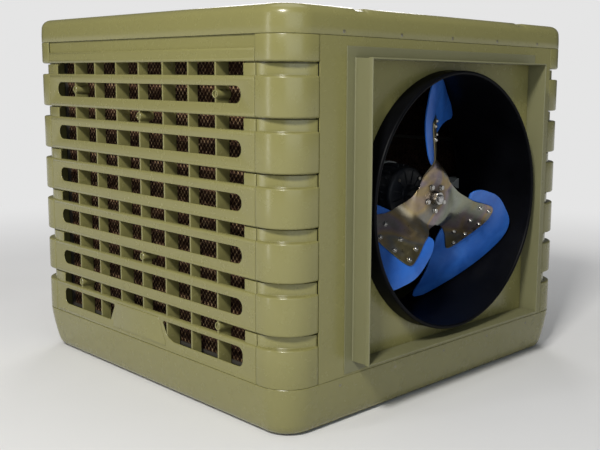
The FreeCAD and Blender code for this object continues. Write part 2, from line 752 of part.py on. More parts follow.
def motor_cowl():
    y0 = -214.7
    shell = rod(MOTOR_R + 8, V(0, y0, AXIS_Z), V(0, y0 + 45, AXIS_Z))
    hollow = rod(MOTOR_R + 6, V(0, y0 - 1, AXIS_Z), V(0, y0 + 42, AXIS_Z))
    slots = []
    for k in range(12):
        slot = box(24, 58, y0 + 40, y0 + 46, AXIS_Z - 4, AXIS_Z + 4)
        slot.rotate(V(0, 0, AXIS_Z), Y_AXIS, 30.0 * k)
        slots.append(slot)
    return shell.cut([hollow] + slots)


def terminal_box():
    z0 = AXIS_Z + MOTOR_R + 9.5
    return box(-38, 38, -300, -228, z0, z0 + 42)


STRUT_Y = (-344.0, BELL_Y - 2.0)


def motor_cradle():
    """A steel ring round the motor with three arms to the shroud's bell."""
    y0, y1 = STRUT_Y
    ring = rod(MOTOR_R + 14, V(0, y0, AXIS_Z), V(0, y1 + 8, AXIS_Z))
    ring = ring.cut(rod(MOTOR_R + 9.3, V(0, y0 - 1, AXIS_Z), V(0, y1 + 9, AXIS_Z)))
    arms = []
    for turn in (0, 120, 240):
        inner_r = MOTOR_R + 12
        bar = box(inner_r, 294, y0, y1, AXIS_Z - 5, AXIS_Z + 5)
        gusset = prism([V(288, y0, AXIS_Z - 5), V(306, y0, AXIS_Z - 15), V(312, y0, AXIS_Z - 15),
                        V(312, y0, AXIS_Z + 15), V(306, y0, AXIS_Z + 15), V(288, y0, AXIS_Z + 5)],
                       V(0, y1 - y0, 0))
        foot = box(306, BELL_R + 12, BELL_Y + 0.3, BELL_Y + 5, AXIS_Z - 15, AXIS_Z + 15)
        neck = box(306, 312, y1 - 4, BELL_Y + 5, AXIS_Z - 15, AXIS_Z + 15)
        arm = bar.fuse([gusset, foot, neck])
        arm.rotate(V(0, 0, AXIS_Z), Y_AXIS, turn)
        arms.append(arm)
    return ring.fuse(arms)


# ---------------------------------------------------------------- water system

PUMP = V(300, 250, FLOOR_Z)
RISER = V(360, 300, 0)


def pump_strainer():
    base = rod(58, PUMP, PUMP + V(0, 0, 30))
    hollow = rod(54, PUMP + V(0, 0, 3), PUMP + V(0, 0, 27))
    slots = []
    for k in range(18):
        slot = box(PUMP.x + 50, PUMP.x + 60, PUMP.y - 3, PUMP.y + 3, PUMP.z + 6, PUMP.z + 24)
        slot.rotate(PUMP, Z_AXIS, 20.0 * k)
        slots.append(slot)
    eye = rod(16, PUMP + V(0, 0, 20), PUMP + V(0, 0, 31))
    return base.cut([hollow, eye] + slots)


def pump_body():
    """Volute below, sealed motor above, and a spigot towards the riser."""
    z0 = 30.3
    volute = rod(44, PUMP + V(0, 0, z0), PUMP + V(0, 0, z0 + 24))
    barrel = rod(36, PUMP + V(0, 0, z0 + 24), PUMP + V(0, 0, z0 + 104))
    away = V(RISER.x - PUMP.x, RISER.y - PUMP.y, 0)
    start = PUMP + V(0, 0, z0 + 12)
    spigot = rod(11, start, start + away)
    elbow = rod(13, start + away - V(0, 0, 13), start + away + V(0, 0, 26))
    chamber = rod(34, PUMP + V(0, 0, z0 - 1), PUMP + V(0, 0, z0 + 18))
    bore = rod(4.05, PUMP + V(0, 0, z0 + 17), PUMP + V(0, 0, z0 + 40))
    way = V(away)
    way.normalize()
    duct = rod(7, start + way * 20, start + away)
    up = rod(7, start + away, start + away + V(0, 0, 30))
    return volute.fuse([barrel, spigot, elbow]).cut([chamber, bore, duct, up])


def pump_impeller():
    z0 = 32.0
    disc = rod(31, PUMP + V(0, 0, z0 + 9), PUMP + V(0, 0, z0 + 12))
    hub = rod(9, PUMP + V(0, 0, z0), PUMP + V(0, 0, z0 + 12))
    shaft = rod(4.0, PUMP + V(0, 0, z0 + 12), PUMP + V(0, 0, z0 + 34))
    vanes = []
    for k in range(6):
        vane = box(PUMP.x + 7, PUMP.x + 30, PUMP.y - 1.2, PUMP.y + 1.2, PUMP.z + z0,
                   PUMP.z + z0 + 9.5)
        vane.rotate(PUMP, Z_AXIS, 60.0 * k)
        vanes.append(vane)
    return disc.fuse([hub, shaft] + vanes)


MANIFOLD_Z = 906.0
PIPE_R = 12.5
PIPE_LINE = (PAD_INNER + PAD_OUTER) / 2
TROUGH_HALF = 448.0


def riser_pipe():
    foot = PUMP.z + 30.3 + 12 + 26.2
    outer = rod(PIPE_R, V(RISER.x, RISER.y, foot), V(RISER.x, RISER.y, MANIFOLD_Z - PIPE_R - 6))
    inner = rod(PIPE_R - 2.5, V(RISER.x, RISER.y, foot - 1), V(RISER.x, RISER.y, MANIFOLD_Z))
    return outer.cut(inner)


def water_manifold():
    """One pipe that runs above the three pads, with a branch to the riser."""
    line = PIPE_LINE
    end = -420.0

    def run(radius, grow):
        left = rod(radius, V(-line, end - grow, MANIFOLD_Z), V(-line, line, MANIFOLD_Z))
        rear = rod(radius, V(-line, line, MANIFOLD_Z), V(line, line, MANIFOLD_Z))
        right = rod(radius, V(line, end - grow, MANIFOLD_Z), V(line, line, MANIFOLD_Z))
        branch = rod(radius, V(RISER.x, RISER.y, MANIFOLD_Z), V(line, RISER.y, MANIFOLD_Z))
        down = rod(radius, V(RISER.x, RISER.y, MANIFOLD_Z),
                   V(RISER.x, RISER.y, MANIFOLD_Z - PIPE_R - 5.8))
        balls = [Part.makeSphere(radius, V(x, y, MANIFOLD_Z))
                 for x, y in ((-line, line), (line, line), (RISER.x, RISER.y))]
        return left.fuse([rear, right, branch, down] + balls)

    return run(PIPE_R, 0)


def distributor_tray():
    """A drip trough over the pad of the -X side."""
    z0 = 862.0
    outer = box(-PAD_OUTER, -PAD_INNER, -TROUGH_HALF, TROUGH_HALF, z0, z0 + 22)
    inner = box(-PAD_OUTER + 3, -PAD_INNER - 3, 3 - TROUGH_HALF, TROUGH_HALF - 3, z0 + 3, z0 + 23)
    drips = []
    count = 17
    for k in range(count):
        y = (k - count // 2) * 50.0
        drips.append(rod(4, V(-PIPE_LINE, y, z0 - 1), V(-PIPE_LINE, y, z0 + 4)))
    return outer.cut([inner] + drips)


def water_inlet():
    """A threaded stub through the basin's rear wall, with its nut outside."""
    x = INLET.x
    z = INLET.z
    flange = rod(17, V(x, 536.5, z), V(x, 539.5, z))
    stub = rod(10.48, V(x, 536.5, z), V(x, HALF + 25, z))
    nut = hexagon(30, V(x, HALF + 0.5, z), Y_AXIS, 6.5)
    nut = nut.cut(rod(10.47, V(x, HALF, z), V(x, HALF + 8, z)))
    bore = rod(6.5, V(x, 530.0, z), V(x, HALF + 30, z))
    return flange.fuse([stub, nut]).cut(bore)


VALVE_Y = 500.0
FLOAT_PIVOT = V(INLET.x, VALVE_Y, INLET.z - 2)
FLOAT_DROP = 12.0
FLOAT_ARM = 128.0


def float_valve():
    x = INLET.x
    z = INLET.z
    body = rod(13, V(x, VALVE_Y + 8, z), V(x, 536.2, z))
    ears = []
    for side in (-1, 1):
        y0 = VALVE_Y - 7
        x0, x1 = sorted((x + side * 5.0, x + side * 9.0))
        ears.append(box(x0, x1, y0, VALVE_Y + 12, z - 9, z + 7))
    pivot = FLOAT_PIVOT
    bore = rod(2.05, pivot - V(12, 0, 0), pivot + V(12, 0, 0))
    return body.fuse(ears).cut(bore)


def tilted(shape):
    shape.rotate(FLOAT_PIVOT, X_AXIS, FLOAT_DROP)
    return shape


def float_arm():
    pivot = FLOAT_PIVOT
    pin = rod(2.0, pivot - V(9, 0, 0), pivot + V(9, 0, 0))
    eye = rod(5.0, pivot - V(4.5, 0, 0), pivot + V(4.5, 0, 0))
    lever = rod(2.5, pivot, pivot - V(0, FLOAT_ARM, 0))
    return tilted(pin.fuse([eye, lever]))


def float_cup():
    """The float, a flat drum on the end of its arm."""
    centre = FLOAT_PIVOT - V(0, FLOAT_ARM + 30, 0)
    drum = rod(36, centre - V(0, 0, 14), centre + V(0, 0, 14))
    drum = drum.makeFillet(5, [e for e in drum.Edges if len(e.Vertexes) == 1])
    collar = rod(6, centre + V(0, 34, 0), FLOAT_PIVOT - V(0, FLOAT_ARM - 14, 0))
    bore = rod(2.55, centre + V(0, 29.8, 0), FLOAT_PIVOT - V(0, FLOAT_ARM - 16, 0))
    return tilted(drum.fuse(collar).cut(bore))


STANDPIPE_R = 14.0


def drain_fitting():
    """A bulkhead fitting in the basin floor; its spigot stays above the base plane."""
    x = DRAIN.x
    y = DRAIN.y
    flange = rod(26, V(x, y, FLOOR_Z), V(x, y, FLOOR_Z + 5))
    spigot = rod(16.6, V(x, y, 1.0), V(x, y, FLOOR_Z + 5))
    nut = hexagon(44, V(x, y, RECESS_UNDER - 6.8), Z_AXIS, 6.5)
    bore = rod(STANDPIPE_R + 0.08, V(x, y, 8), V(x, y, FLOOR_Z + 6))
    outlet = rod(11, V(x, y, 0), V(x, y, 9))
    return flange.fuse([spigot, nut]).cut([bore, outlet])


def overflow_pipe():
    x = DRAIN.x
    y = DRAIN.y
    pipe = rod(STANDPIPE_R, V(x, y, 8.5), V(x, y, 94))
    collar = rod(STANDPIPE_R + 3, V(x, y, 84), V(x, y, 94))
    return pipe.fuse(collar).cut(rod(11, V(x, y, 7), V(x, y, 95)))


# ---------------------------------------------------------------- electrics

GLAND = V(480, HALF, 162)


def control_box():
    case = box(455.6, 505, 455.6, 505, 240, 430)
    hollow = box(458.6, 502, 458.6, 502, 243, 427)
    return case.cut(hollow)


def cable_gland():
    """A gland through the rear right column, with its nut inside."""
    start = V(GLAND.x, HALF + 0.3, GLAND.z)
    body = hexagon(22, start, Y_AXIS, 6)
    cap = rod(9.5, V(GLAND.x, HALF + 6, GLAND.z), V(GLAND.x, HALF + 18, GLAND.z))
    thread = rod(8.0, V(GLAND.x, HALF - 14, GLAND.z), V(GLAND.x, HALF + 1, GLAND.z))
    nut = hexagon(20, V(GLAND.x, HALF - 12.5, GLAND.z), Y_AXIS, 5)
    bore = rod(5.0, V(GLAND.x, HALF - 20, GLAND.z), V(GLAND.x, HALF + 20, GLAND.z))
    return body.fuse([cap, thread, nut]).cut(bore)


# ---------------------------------------------------------------- write the nodes

os.makedirs("parts", exist_ok=True)

save("bottom_tray", bottom_tray())
save("top_cover", top_cover())
COLUMN = corner_column()
GLAND_HOLE = rod(8.2, V(GLAND.x, HALF - 10, GLAND.z), V(GLAND.x, HALF + 5, GLAND.z))
save("column_front_left", COLUMN)
save("column_front_right", turned(COLUMN, 90))
save("column_rear_right", turned(COLUMN, 180).cut(GLAND_HOLE))
save("column_rear_left", turned(COLUMN, 270))

GRILLE = louver_grille()
SCREWS = louver_screws()
PAD = cooling_pad()
FRAME = pad_frame()
TROUGH = distributor_tray()
for side, angle in (("left", 0), ("rear", 270), ("right", 180)):
    save("louver_" + side, turned(GRILLE, angle))
    save("louver_screws_" + side, turned(SCREWS, angle))
    save("cooling_pad_" + side, turned(PAD, angle))
    save("pad_frame_" + side, turned(FRAME, angle))
    save("drip_trough_" + side, turned(TROUGH, angle))

save("discharge_panel", discharge_panel())
save("outlet_collar", outlet_collar())
save("cover_screws", edge_screws(COVER_SCREW_Z, 1.8))
save("tray_screws", edge_screws(TRAY_SCREW_Z, 2.8))
save("fan_shroud", fan_shroud())

save("fan_spider", fan_spider())
for number, arm in enumerate(ARM_ANGLES, 1):
    save("fan_blade_%d" % number, fan_blade(arm))
save("blade_bolts", blade_bolts())
save("hub_bushing", hub_bushing())
save("hub_bolts", hub_bolts())
save("hub_washer", hub_washer())
save("hub_nut", hub_nut())
save("motor_shaft", motor_shaft())
save("shaft_key", shaft_key())

save("motor_housing", motor_housing())
save("motor_end_shield", motor_end_shield())
save("motor_cowl", motor_cowl())
save("terminal_box", terminal_box())
save("motor_cradle", motor_cradle())

save("pump_strainer", pump_strainer())
save("pump_body", pump_body())
save("pump_impeller", pump_impeller())
save("riser_pipe", riser_pipe())
save("water_manifold", water_manifold())
save("water_inlet", water_inlet())
save("float_valve", float_valve())
save("float_arm", float_arm())
save("float_cup", float_cup())
save("drain_fitting", drain_fitting())
save("overflow_pipe", overflow_pipe())
save("control_box", control_box())
save("cable_gland", cable_gland())
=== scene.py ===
import json
import random
from math import acos, atan2, cos, hypot, pi, radians, sin, sqrt, tan

import bmesh
import bpy
from mathutils import Matrix, Vector
from mathutils.geometry import delaunay_2d_cdt, tessellate_polygon


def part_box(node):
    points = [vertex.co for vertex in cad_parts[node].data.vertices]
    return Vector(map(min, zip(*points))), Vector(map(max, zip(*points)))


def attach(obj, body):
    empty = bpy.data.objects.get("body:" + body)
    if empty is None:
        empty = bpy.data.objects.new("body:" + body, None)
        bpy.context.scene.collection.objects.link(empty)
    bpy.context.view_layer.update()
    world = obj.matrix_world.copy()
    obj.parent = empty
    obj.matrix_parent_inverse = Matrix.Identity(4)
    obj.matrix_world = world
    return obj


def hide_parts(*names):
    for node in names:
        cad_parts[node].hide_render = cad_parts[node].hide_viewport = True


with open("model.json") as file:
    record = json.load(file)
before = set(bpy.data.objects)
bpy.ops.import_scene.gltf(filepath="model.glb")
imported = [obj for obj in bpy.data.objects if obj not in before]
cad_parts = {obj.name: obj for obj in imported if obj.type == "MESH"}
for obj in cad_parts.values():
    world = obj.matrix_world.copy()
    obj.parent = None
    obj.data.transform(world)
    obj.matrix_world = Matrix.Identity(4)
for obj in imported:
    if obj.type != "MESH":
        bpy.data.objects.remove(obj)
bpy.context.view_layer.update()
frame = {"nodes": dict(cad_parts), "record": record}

# Lengths of the shapes are in millimetres; meshes, materials, lights and camera take metres.
MM = 0.001

# ---- places taken from the frame

cover_low, cover_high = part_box("top_cover")
pad_low, pad_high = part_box("cooling_pad_left")
collar_low, collar_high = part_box("outlet_collar")
washer_low, washer_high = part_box("hub_washer")

LOW, HIGH = 0, 1
HALF = cover_high.x / MM
TRAY_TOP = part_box("bottom_tray")[HIGH].z / MM
SEAM_TOP = cover_low.z / MM
HEIGHT = cover_high.z / MM
LOUVER_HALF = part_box("louver_left")[HIGH].y / MM
PAD_HALF = pad_high.y / MM
PAD_BACK = pad_high.x / MM
COLLAR_FRONT = collar_low.y / MM
FLANGE_HALF = collar_high.x / MM
LIP_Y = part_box("fan_shroud")[LOW].y / MM
AXIS_Z = (washer_low.z + washer_high.z) / 2 / MM
WASHER_BACK = washer_high.y / MM
HUB_Y = WASHER_BACK + 3.7
SHIELD_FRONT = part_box("motor_end_shield")[LOW].y / MM
SHAFT_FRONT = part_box("motor_shaft")[LOW].y / MM

CORNER_R = 80
CORNER_STEPS = 24
BANDS = 6
PITCH = 118.5
RECESS_H = 30
RAISED_H = PITCH - RECESS_H
RECESS = 3
STRIP_CORNER_R = 112
UNDERCUT = 6
GROOVE = RECESS + UNDERCUT
GROOVE_H = 3
WALL_FOOT = TRAY_TOP + 0.5
WALL_HEAD = SEAM_TOP - 0.5
TOP_STEP_Z = 858
TOP_STEP = 4.5
WALL = 3.5
JOINT = LOUVER_HALF + 1
# The eased edge of a moulding: (travel from the edge, depth).
EASE = ((0, 1.3), (0.6, 0.4), (1.4, 0))
# The wall panels between the corners and the turn that brings the left one to each side.
SIDES = (("left", 0), ("rear", 270), ("right", 180))
FRONT = (0, -1, 0)
REAR = (0, 1, 0)

# ---- materials

MATERIALS = {}


class Nodes:
    """Wires the node tree of a material or a world."""

    def __init__(self, owner):
        owner.use_nodes = True
        self.tree = owner.node_tree
        self.tree.nodes.clear()

    def feed(self, socket, value):
        """Join an output to an input, or set a plain value."""
        if isinstance(value, bpy.types.NodeSocket):
            self.tree.links.new(value, socket)
        elif socket.type == "RGBA":
            socket.default_value = (*value, 1)
        else:
            socket.default_value = value

    def node(self, kind, inputs=None, **settings):
        """Add a node with its settings and what feeds its inputs."""
        node = self.tree.nodes.new("ShaderNode" + kind)
        for key, value in settings.items():
            setattr(node, key, value)
        for key, value in (inputs or {}).items():
            self.feed(node.inputs[key], value)
        return node


class Surface(Nodes):
    """A material in object coordinates; its methods take and return sockets."""

    def __init__(self, slot):
        material = bpy.data.materials.new(slot)
        super().__init__(material)
        MATERIALS[slot] = material
        self.shader = self.node("BsdfPrincipled")
        self.output = self.node("OutputMaterial", {"Surface": self.shader.outputs["BSDF"]})
        self.place = self.node("TexCoord").outputs["Object"]

    def set(self, **values):
        """Feed inputs of the shader."""
        for key, value in values.items():
            self.feed(self.shader.inputs[key.replace("_", " ")], value)

    def noise(self, scale, detail=3, roughness=0.5, stretch=(1, 1, 1), distortion=0):
        place = self.node("Mapping", {"Vector": self.place, "Scale": stretch})
        noise = self.node("TexNoise", {
            "Vector": place.outputs["Vector"], "Scale": scale, "Detail": detail,
            "Roughness": roughness, "Distortion": distortion})
        return noise.outputs["Fac"]

    def ramp(self, factor, *stops):
        """Colours along a factor; each stop is (factor, colour)."""
        node = self.node("ValToRGB", {"Fac": factor})
        elements = node.color_ramp.elements
        while len(elements) < len(stops):
            elements.new(0.5)
        for element, (place, colour) in zip(elements, stops):
            element.position = place
            element.color = (*colour, 1)
        return node.outputs["Color"]

    def spread(self, factor, low, high, start=0.3, end=0.7):
        """Bring a factor's range from start to end onto low to high."""
        node = self.node("MapRange", {"Value": factor, "From Min": start, "From Max": end,
                                      "To Min": low, "To Max": high})
        return node.outputs["Result"]

    def mix(self, factor, under, over, mode="MIX"):
        node = self.node("Mix", data_type="RGBA", blend_type=mode)
        for number, value in ((0, factor), (6, under), (7, over)):
            self.feed(node.inputs[number], value)
        return node.outputs[2]

    def patches(self, colour, tint, noise, amount, start, end):
        """Tint a colour where a noise runs high."""
        return self.mix(self.spread(noise, 0, amount, start, end), colour, tint)

    def painted_corner_shade(self, colour, tint, distance, amount):
        """Painted shade: the colour darkens toward a tint in corners and crevices, by ambient
        occlusion.
        """
        shade = self.node("AmbientOcclusion", {"Distance": distance}, samples=8)
        return self.mix(self.spread(shade.outputs["AO"], amount, 0, 0.25, 0.85), colour, tint)

    def rounded_edges(self, radius):
        """Soft moulded edges: the start of a chain of bumps."""
        return self.node("Bevel", {"Radius": radius}, samples=4).outputs["Normal"]

    def bump(self, height, distance, strength, before=None):
        """Add a bump to the shader, on top of the one before."""
        node = self.node("Bump", {"Height": height, "Distance": distance, "Strength": strength})
        if before is not None:
            self.feed(node.inputs["Normal"], before)
        self.set(Normal=node.outputs["Normal"])
        return node.outputs["Normal"]


def shaded(colour, share):
    return tuple(min(1, c * share) for c in colour)


def plastic(slot, colour, roughness, variation=0.12, corner_shade_share=0.35):
    """Moulded plastic: a fine cast grain, slow colour drift, light dust, and painted shade in the
    corners.
    """
    m = Surface(slot)
    base = m.ramp(m.noise(2.6, 4, 0.55), (0.32, shaded(colour, 1 - variation)),
                  (0.5, colour), (0.7, shaded(colour, 1 + variation)))
    pale = tuple(c * 0.8 + 0.1 for c in colour)
    streaks = m.noise(9, 5, 0.6, stretch=(1, 1, 0.18))
    base = m.patches(base, pale, streaks, 0.015, 0.45, 0.75)
    specks = m.ramp(m.noise(150, 2), (0.3, (0.95, 0.95, 0.95)), (0.65, (1, 1, 1)))
    base = m.mix(0.12, base, specks, "MULTIPLY")
    m.set(Base_Color=m.painted_corner_shade(base, shaded(colour, 0.25), 0.012, corner_shade_share),
          Roughness=m.spread(m.noise(35, 4, 0.6), roughness - 0.02, roughness + 0.04),
          Specular_IOR_Level=0.55)
    wave = m.bump(m.noise(4, 1, 0.4), 0.0011, 0.07, m.rounded_edges(0.0012))
    m.bump(m.noise(900, 2, 0.55), 0.00005, 0.2, wave)


def sheet_metal(slot, colour, roughness):
    """Powder-coated sheet: orange peel, faint chips and handling marks."""
    m = Surface(slot)
    base = m.ramp(m.noise(3.5, 4), (0.3, shaded(colour, 0.96)), (0.7, shaded(colour, 1.04)))
    smears = m.noise(14, 5, 0.65, stretch=(1, 1, 0.3), distortion=0.6)
    base = m.patches(base, shaded(colour, 0.55), smears, 0.05, 0.52, 0.78)
    # Painted shade darkens the corners and crevices, by ambient occlusion.
    m.set(Base_Color=m.painted_corner_shade(base, shaded(colour, 0.28), 0.018, 0.3),
          Roughness=m.spread(m.noise(40, 4, 0.6), roughness - 0.07, roughness + 0.1))
    peel = m.bump(m.noise(420, 2), 0.00008, 0.6, m.rounded_edges(0.001))
    m.bump(m.noise(4, 2, 0.4), 0.0012, 0.12, peel)


def metal(slot, colour, roughness, brushed=(1, 1, 1), scratch=0.00003, dark=0.25):
    """Bare or plated metal: tarnish spots, painted shade in the corners and fine scratches."""
    m = Surface(slot)
    base = m.ramp(m.noise(22, 4, 0.6), (0.3, shaded(colour, 1 - dark)), (0.65, colour))
    base = m.patches(base, shaded(colour, 0.35), m.noise(120, 4, 0.7), 0.35, 0.58, 0.74)
    lines = m.noise(260, 3, 0.6, stretch=brushed)
    m.set(Base_Color=m.painted_corner_shade(base, (0.03, 0.025, 0.02), 0.006, 0.5), Metallic=1,
          Roughness=m.spread(lines, roughness - 0.06, roughness + 0.12))
    m.bump(lines, scratch, 0.8, m.rounded_edges(0.0004))


def passivated(slot):
    """Zinc plate with the coloured film of chromate passivation, and a dark disc of painted shade
    round the hub.
    """
    m = Surface(slot)
    film = m.ramp(m.noise(7, 2.5, distortion=0.7),
                  (0.3, (0.2, 0.17, 0.095)), (0.39, (0.33, 0.28, 0.14)),
                  (0.46, (0.26, 0.255, 0.235)), (0.52, (0.4, 0.3, 0.15)),
                  (0.58, (0.29, 0.235, 0.255)), (0.66, (0.24, 0.26, 0.215)),
                  (0.76, (0.34, 0.29, 0.15)))
    base = m.patches(film, (0.135, 0.118, 0.078), m.noise(38, 5, 0.7), 0.35, 0.42, 0.7)
    # Painted shade: a dark disc round the hub, full within 24 mm of the axis and gone by 50 mm.
    off_axis = m.node("VectorMath", {0: m.place, 1: (1, 0, 1), 2: (0, 0, -AXIS_Z * MM)},
                      operation="MULTIPLY_ADD")
    radius = m.node("VectorMath", {0: off_axis.outputs["Vector"]}, operation="LENGTH")
    hub_shade = m.spread(radius.outputs["Value"], 0.75, 0, 0.024, 0.05)
    base = m.mix(hub_shade, base, (0.022, 0.02, 0.017))
    # Painted shade darkens the corners and crevices, by ambient occlusion.
    m.set(Base_Color=m.painted_corner_shade(base, (0.05, 0.04, 0.03), 0.01, 0.45), Metallic=1,
          Roughness=m.spread(m.noise(60, 4, 0.6), 0.27, 0.42))
    lines = m.noise(170, 3, 0.6, stretch=(0.25, 1, 1))
    m.bump(lines, 0.00005, 0.8, m.rounded_edges(0.0006))


def blade_plastic(slot):
    """Glass-filled blue nylon: flow marks, fine pits and a dusting of lint."""
    m = Surface(slot)
    flow = m.noise(8, 4, 0.55, stretch=(1.6, 0.7, 1.6), distortion=0.8)
    base = m.ramp(flow, (0.28, (0.012, 0.075, 0.33)), (0.5, (0.018, 0.105, 0.42)),
                  (0.74, (0.03, 0.14, 0.5)))
    base = m.patches(base, (0.2, 0.28, 0.42), m.noise(42, 5, 0.7), 0.08, 0.5, 0.8)
    # Painted shade darkens the corners and crevices, by ambient occlusion.
    m.set(Base_Color=m.painted_corner_shade(base, (0.008, 0.02, 0.06), 0.012, 0.4),
          Roughness=m.spread(m.noise(60, 4, 0.6), 0.3, 0.46))
    pits = m.bump(m.noise(650, 2, 0.6), 0.00006, 0.8, m.rounded_edges(0.001))
    m.bump(m.noise(12), 0.001, 0.35, pits)


def pad_paper(slot):
    """Resin-soaked cellulose sheet: dark wet flanks and fibres, with painted glints of pale tan
    on the crests of the front edge.
    """
    m = Surface(slot)
    base = m.ramp(m.noise(7, 5, 0.6), (0.28, (0.02, 0.007, 0.004)),
                  (0.5, (0.038, 0.014, 0.007)), (0.72, (0.066, 0.027, 0.012)))
    fibre = m.noise(320, 4, 0.7, stretch=(1, 1, 0.3))
    base = m.patches(base, (0.15, 0.075, 0.032), fibre, 0.3, 0.5, 0.75)
    uneven = m.noise(60, 2)
    # Painted glints: the crests of the front edge, kept in the tip attribute, turn pale tan,
    # broken up by noise.
    glint_breakup = m.ramp(uneven, (0.34, (0.25, 0.25, 0.25)), (0.58, (1, 1, 1)))
    tip = m.node("Attribute", attribute_name="tip")
    bright = m.mix(1, tip.outputs["Color"], glint_breakup, "MULTIPLY")
    glint_tan = m.ramp(uneven, (0.3, (0.34, 0.17, 0.07)), (0.7, (0.72, 0.5, 0.27)))
    m.set(Base_Color=m.mix(bright, base, glint_tan), Roughness=m.spread(fibre, 0.55, 0.85),
          Specular_IOR_Level=0.35)
    m.bump(fibre, 0.0003, 0.7)


def cast_paint(slot, colour, roughness):
    """Thick paint on a cast motor: lumpy, with dust on it."""
    m = Surface(slot)
    lumps = m.noise(90, 4, 0.6)
    base = m.ramp(lumps, (0.3, shaded(colour, 0.75)), (0.7, colour))
    dust = m.noise(18, 5, 0.7)
    m.set(Base_Color=m.patches(base, (0.2, 0.19, 0.17), dust, 0.18, 0.45, 0.75),
          Roughness=m.spread(lumps, roughness - 0.06, roughness + 0.12))
    m.bump(lumps, 0.0005, 0.5, m.rounded_edges(0.001))


def shroud_gloss(slot):
    """Black polypropylene ring, glossy, with faint circular tooling marks and dust."""
    m = Surface(slot)
    slow = m.noise(6, 4, 0.6)
    base = m.ramp(slow, (0.3, (0.001, 0.0011, 0.0016)), (0.7, (0.0026, 0.0028, 0.004)))
    dust = m.noise(30, 5, 0.7)
    m.set(Base_Color=m.patches(base, (0.014, 0.016, 0.024), dust, 0.05, 0.5, 0.8),
          Roughness=m.spread(slow, 0.34, 0.48), Specular_IOR_Level=0.07)
    marks = m.noise(90, 2, stretch=(0.15, 2.5, 0.15))
    m.bump(marks, 0.0003, 0.3, m.rounded_edges(0.0012))


plastic("casing_plastic", (0.204, 0.19, 0.068), 0.25, variation=0.02)
plastic("inner_plastic", (0.04, 0.04, 0.036), 0.6)
plastic("frame_plastic", (0.06, 0.055, 0.045), 0.6)
plastic("pump_plastic", (0.02, 0.022, 0.026), 0.5)
plastic("pipe_plastic", (0.36, 0.37, 0.36), 0.4, corner_shade_share=0.25)
plastic("float_plastic", (0.5, 0.47, 0.38), 0.45, corner_shade_share=0.25)
plastic("gland_plastic", (0.012, 0.012, 0.012), 0.45)
sheet_metal("collar_sheet", (0.166, 0.162, 0.082), 0.42)
sheet_metal("cradle_paint", (0.26, 0.27, 0.26), 0.45)
shroud_gloss("shroud_plastic")
blade_plastic("blade_plastic")
passivated("passivated_steel")
metal("bright_bolts", (0.5, 0.49, 0.46), 0.24, scratch=0.00002, dark=0.3)
metal("zinc_screws", (0.36, 0.34, 0.29), 0.34, dark=0.35)
metal("machined_steel", (0.52, 0.51, 0.5), 0.28, brushed=(0.2, 3, 3))
metal("valve_brass", (0.6, 0.44, 0.19), 0.32)
cast_paint("motor_paint", (0.012, 0.014, 0.019), 0.38)
pad_paper("pad_paper")

for part in frame["record"]["subparts"]:
    cad_mesh = frame["nodes"][part["node"]].data
    cad_mesh.materials.clear()
    cad_mesh.materials.append(MATERIALS[part["material_slot"]])

# ---- mesh helpers


def piece(name, shape, slot, stands_for=(), body="casing", sharp=32, bevel=0, weld=True):
    """Make a mesh of a shape and tie it to its body."""
    mesh = bpy.data.meshes.new(name)
    mesh.from_pydata([(x * MM, y * MM, z * MM) for x, y, z in shape.v], [], shape.f)
    work = bmesh.new()
    work.from_mesh(mesh)
    if weld:
        bmesh.ops.remove_doubles(work, verts=work.verts, dist=0.000004)
    bmesh.ops.dissolve_degenerate(work, edges=work.edges, dist=0.000002)
    bmesh.ops.recalc_face_normals(work, faces=work.faces)
    limit = radians(sharp)
    for face in work.faces:
        face.smooth = True
    for edge in work.edges:
        if len(edge.link_faces) != 2 or edge.calc_face_angle(0) > limit:
            edge.smooth = False
    work.to_mesh(mesh)
    work.free()
    mesh.materials.append(MATERIALS[slot])
    obj = bpy.data.objects.new(name, mesh)
    bpy.context.collection.objects.link(obj)
    if bevel > 0:
        rounding = obj.modifiers.new("rounding", "BEVEL")
        rounding.width = bevel * MM
        rounding.segments = 2
        rounding.limit_method = "ANGLE"
        rounding.angle_limit = radians(40)
    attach(obj, body)
    if stands_for:
        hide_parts(*stands_for)
    return obj


def square_to(axis):
    """The axis and two directions square to it, all of unit length."""
    along = Vector(axis).normalized()
    side = along.orthogonal().normalized()
    return along, side, along.cross(side)


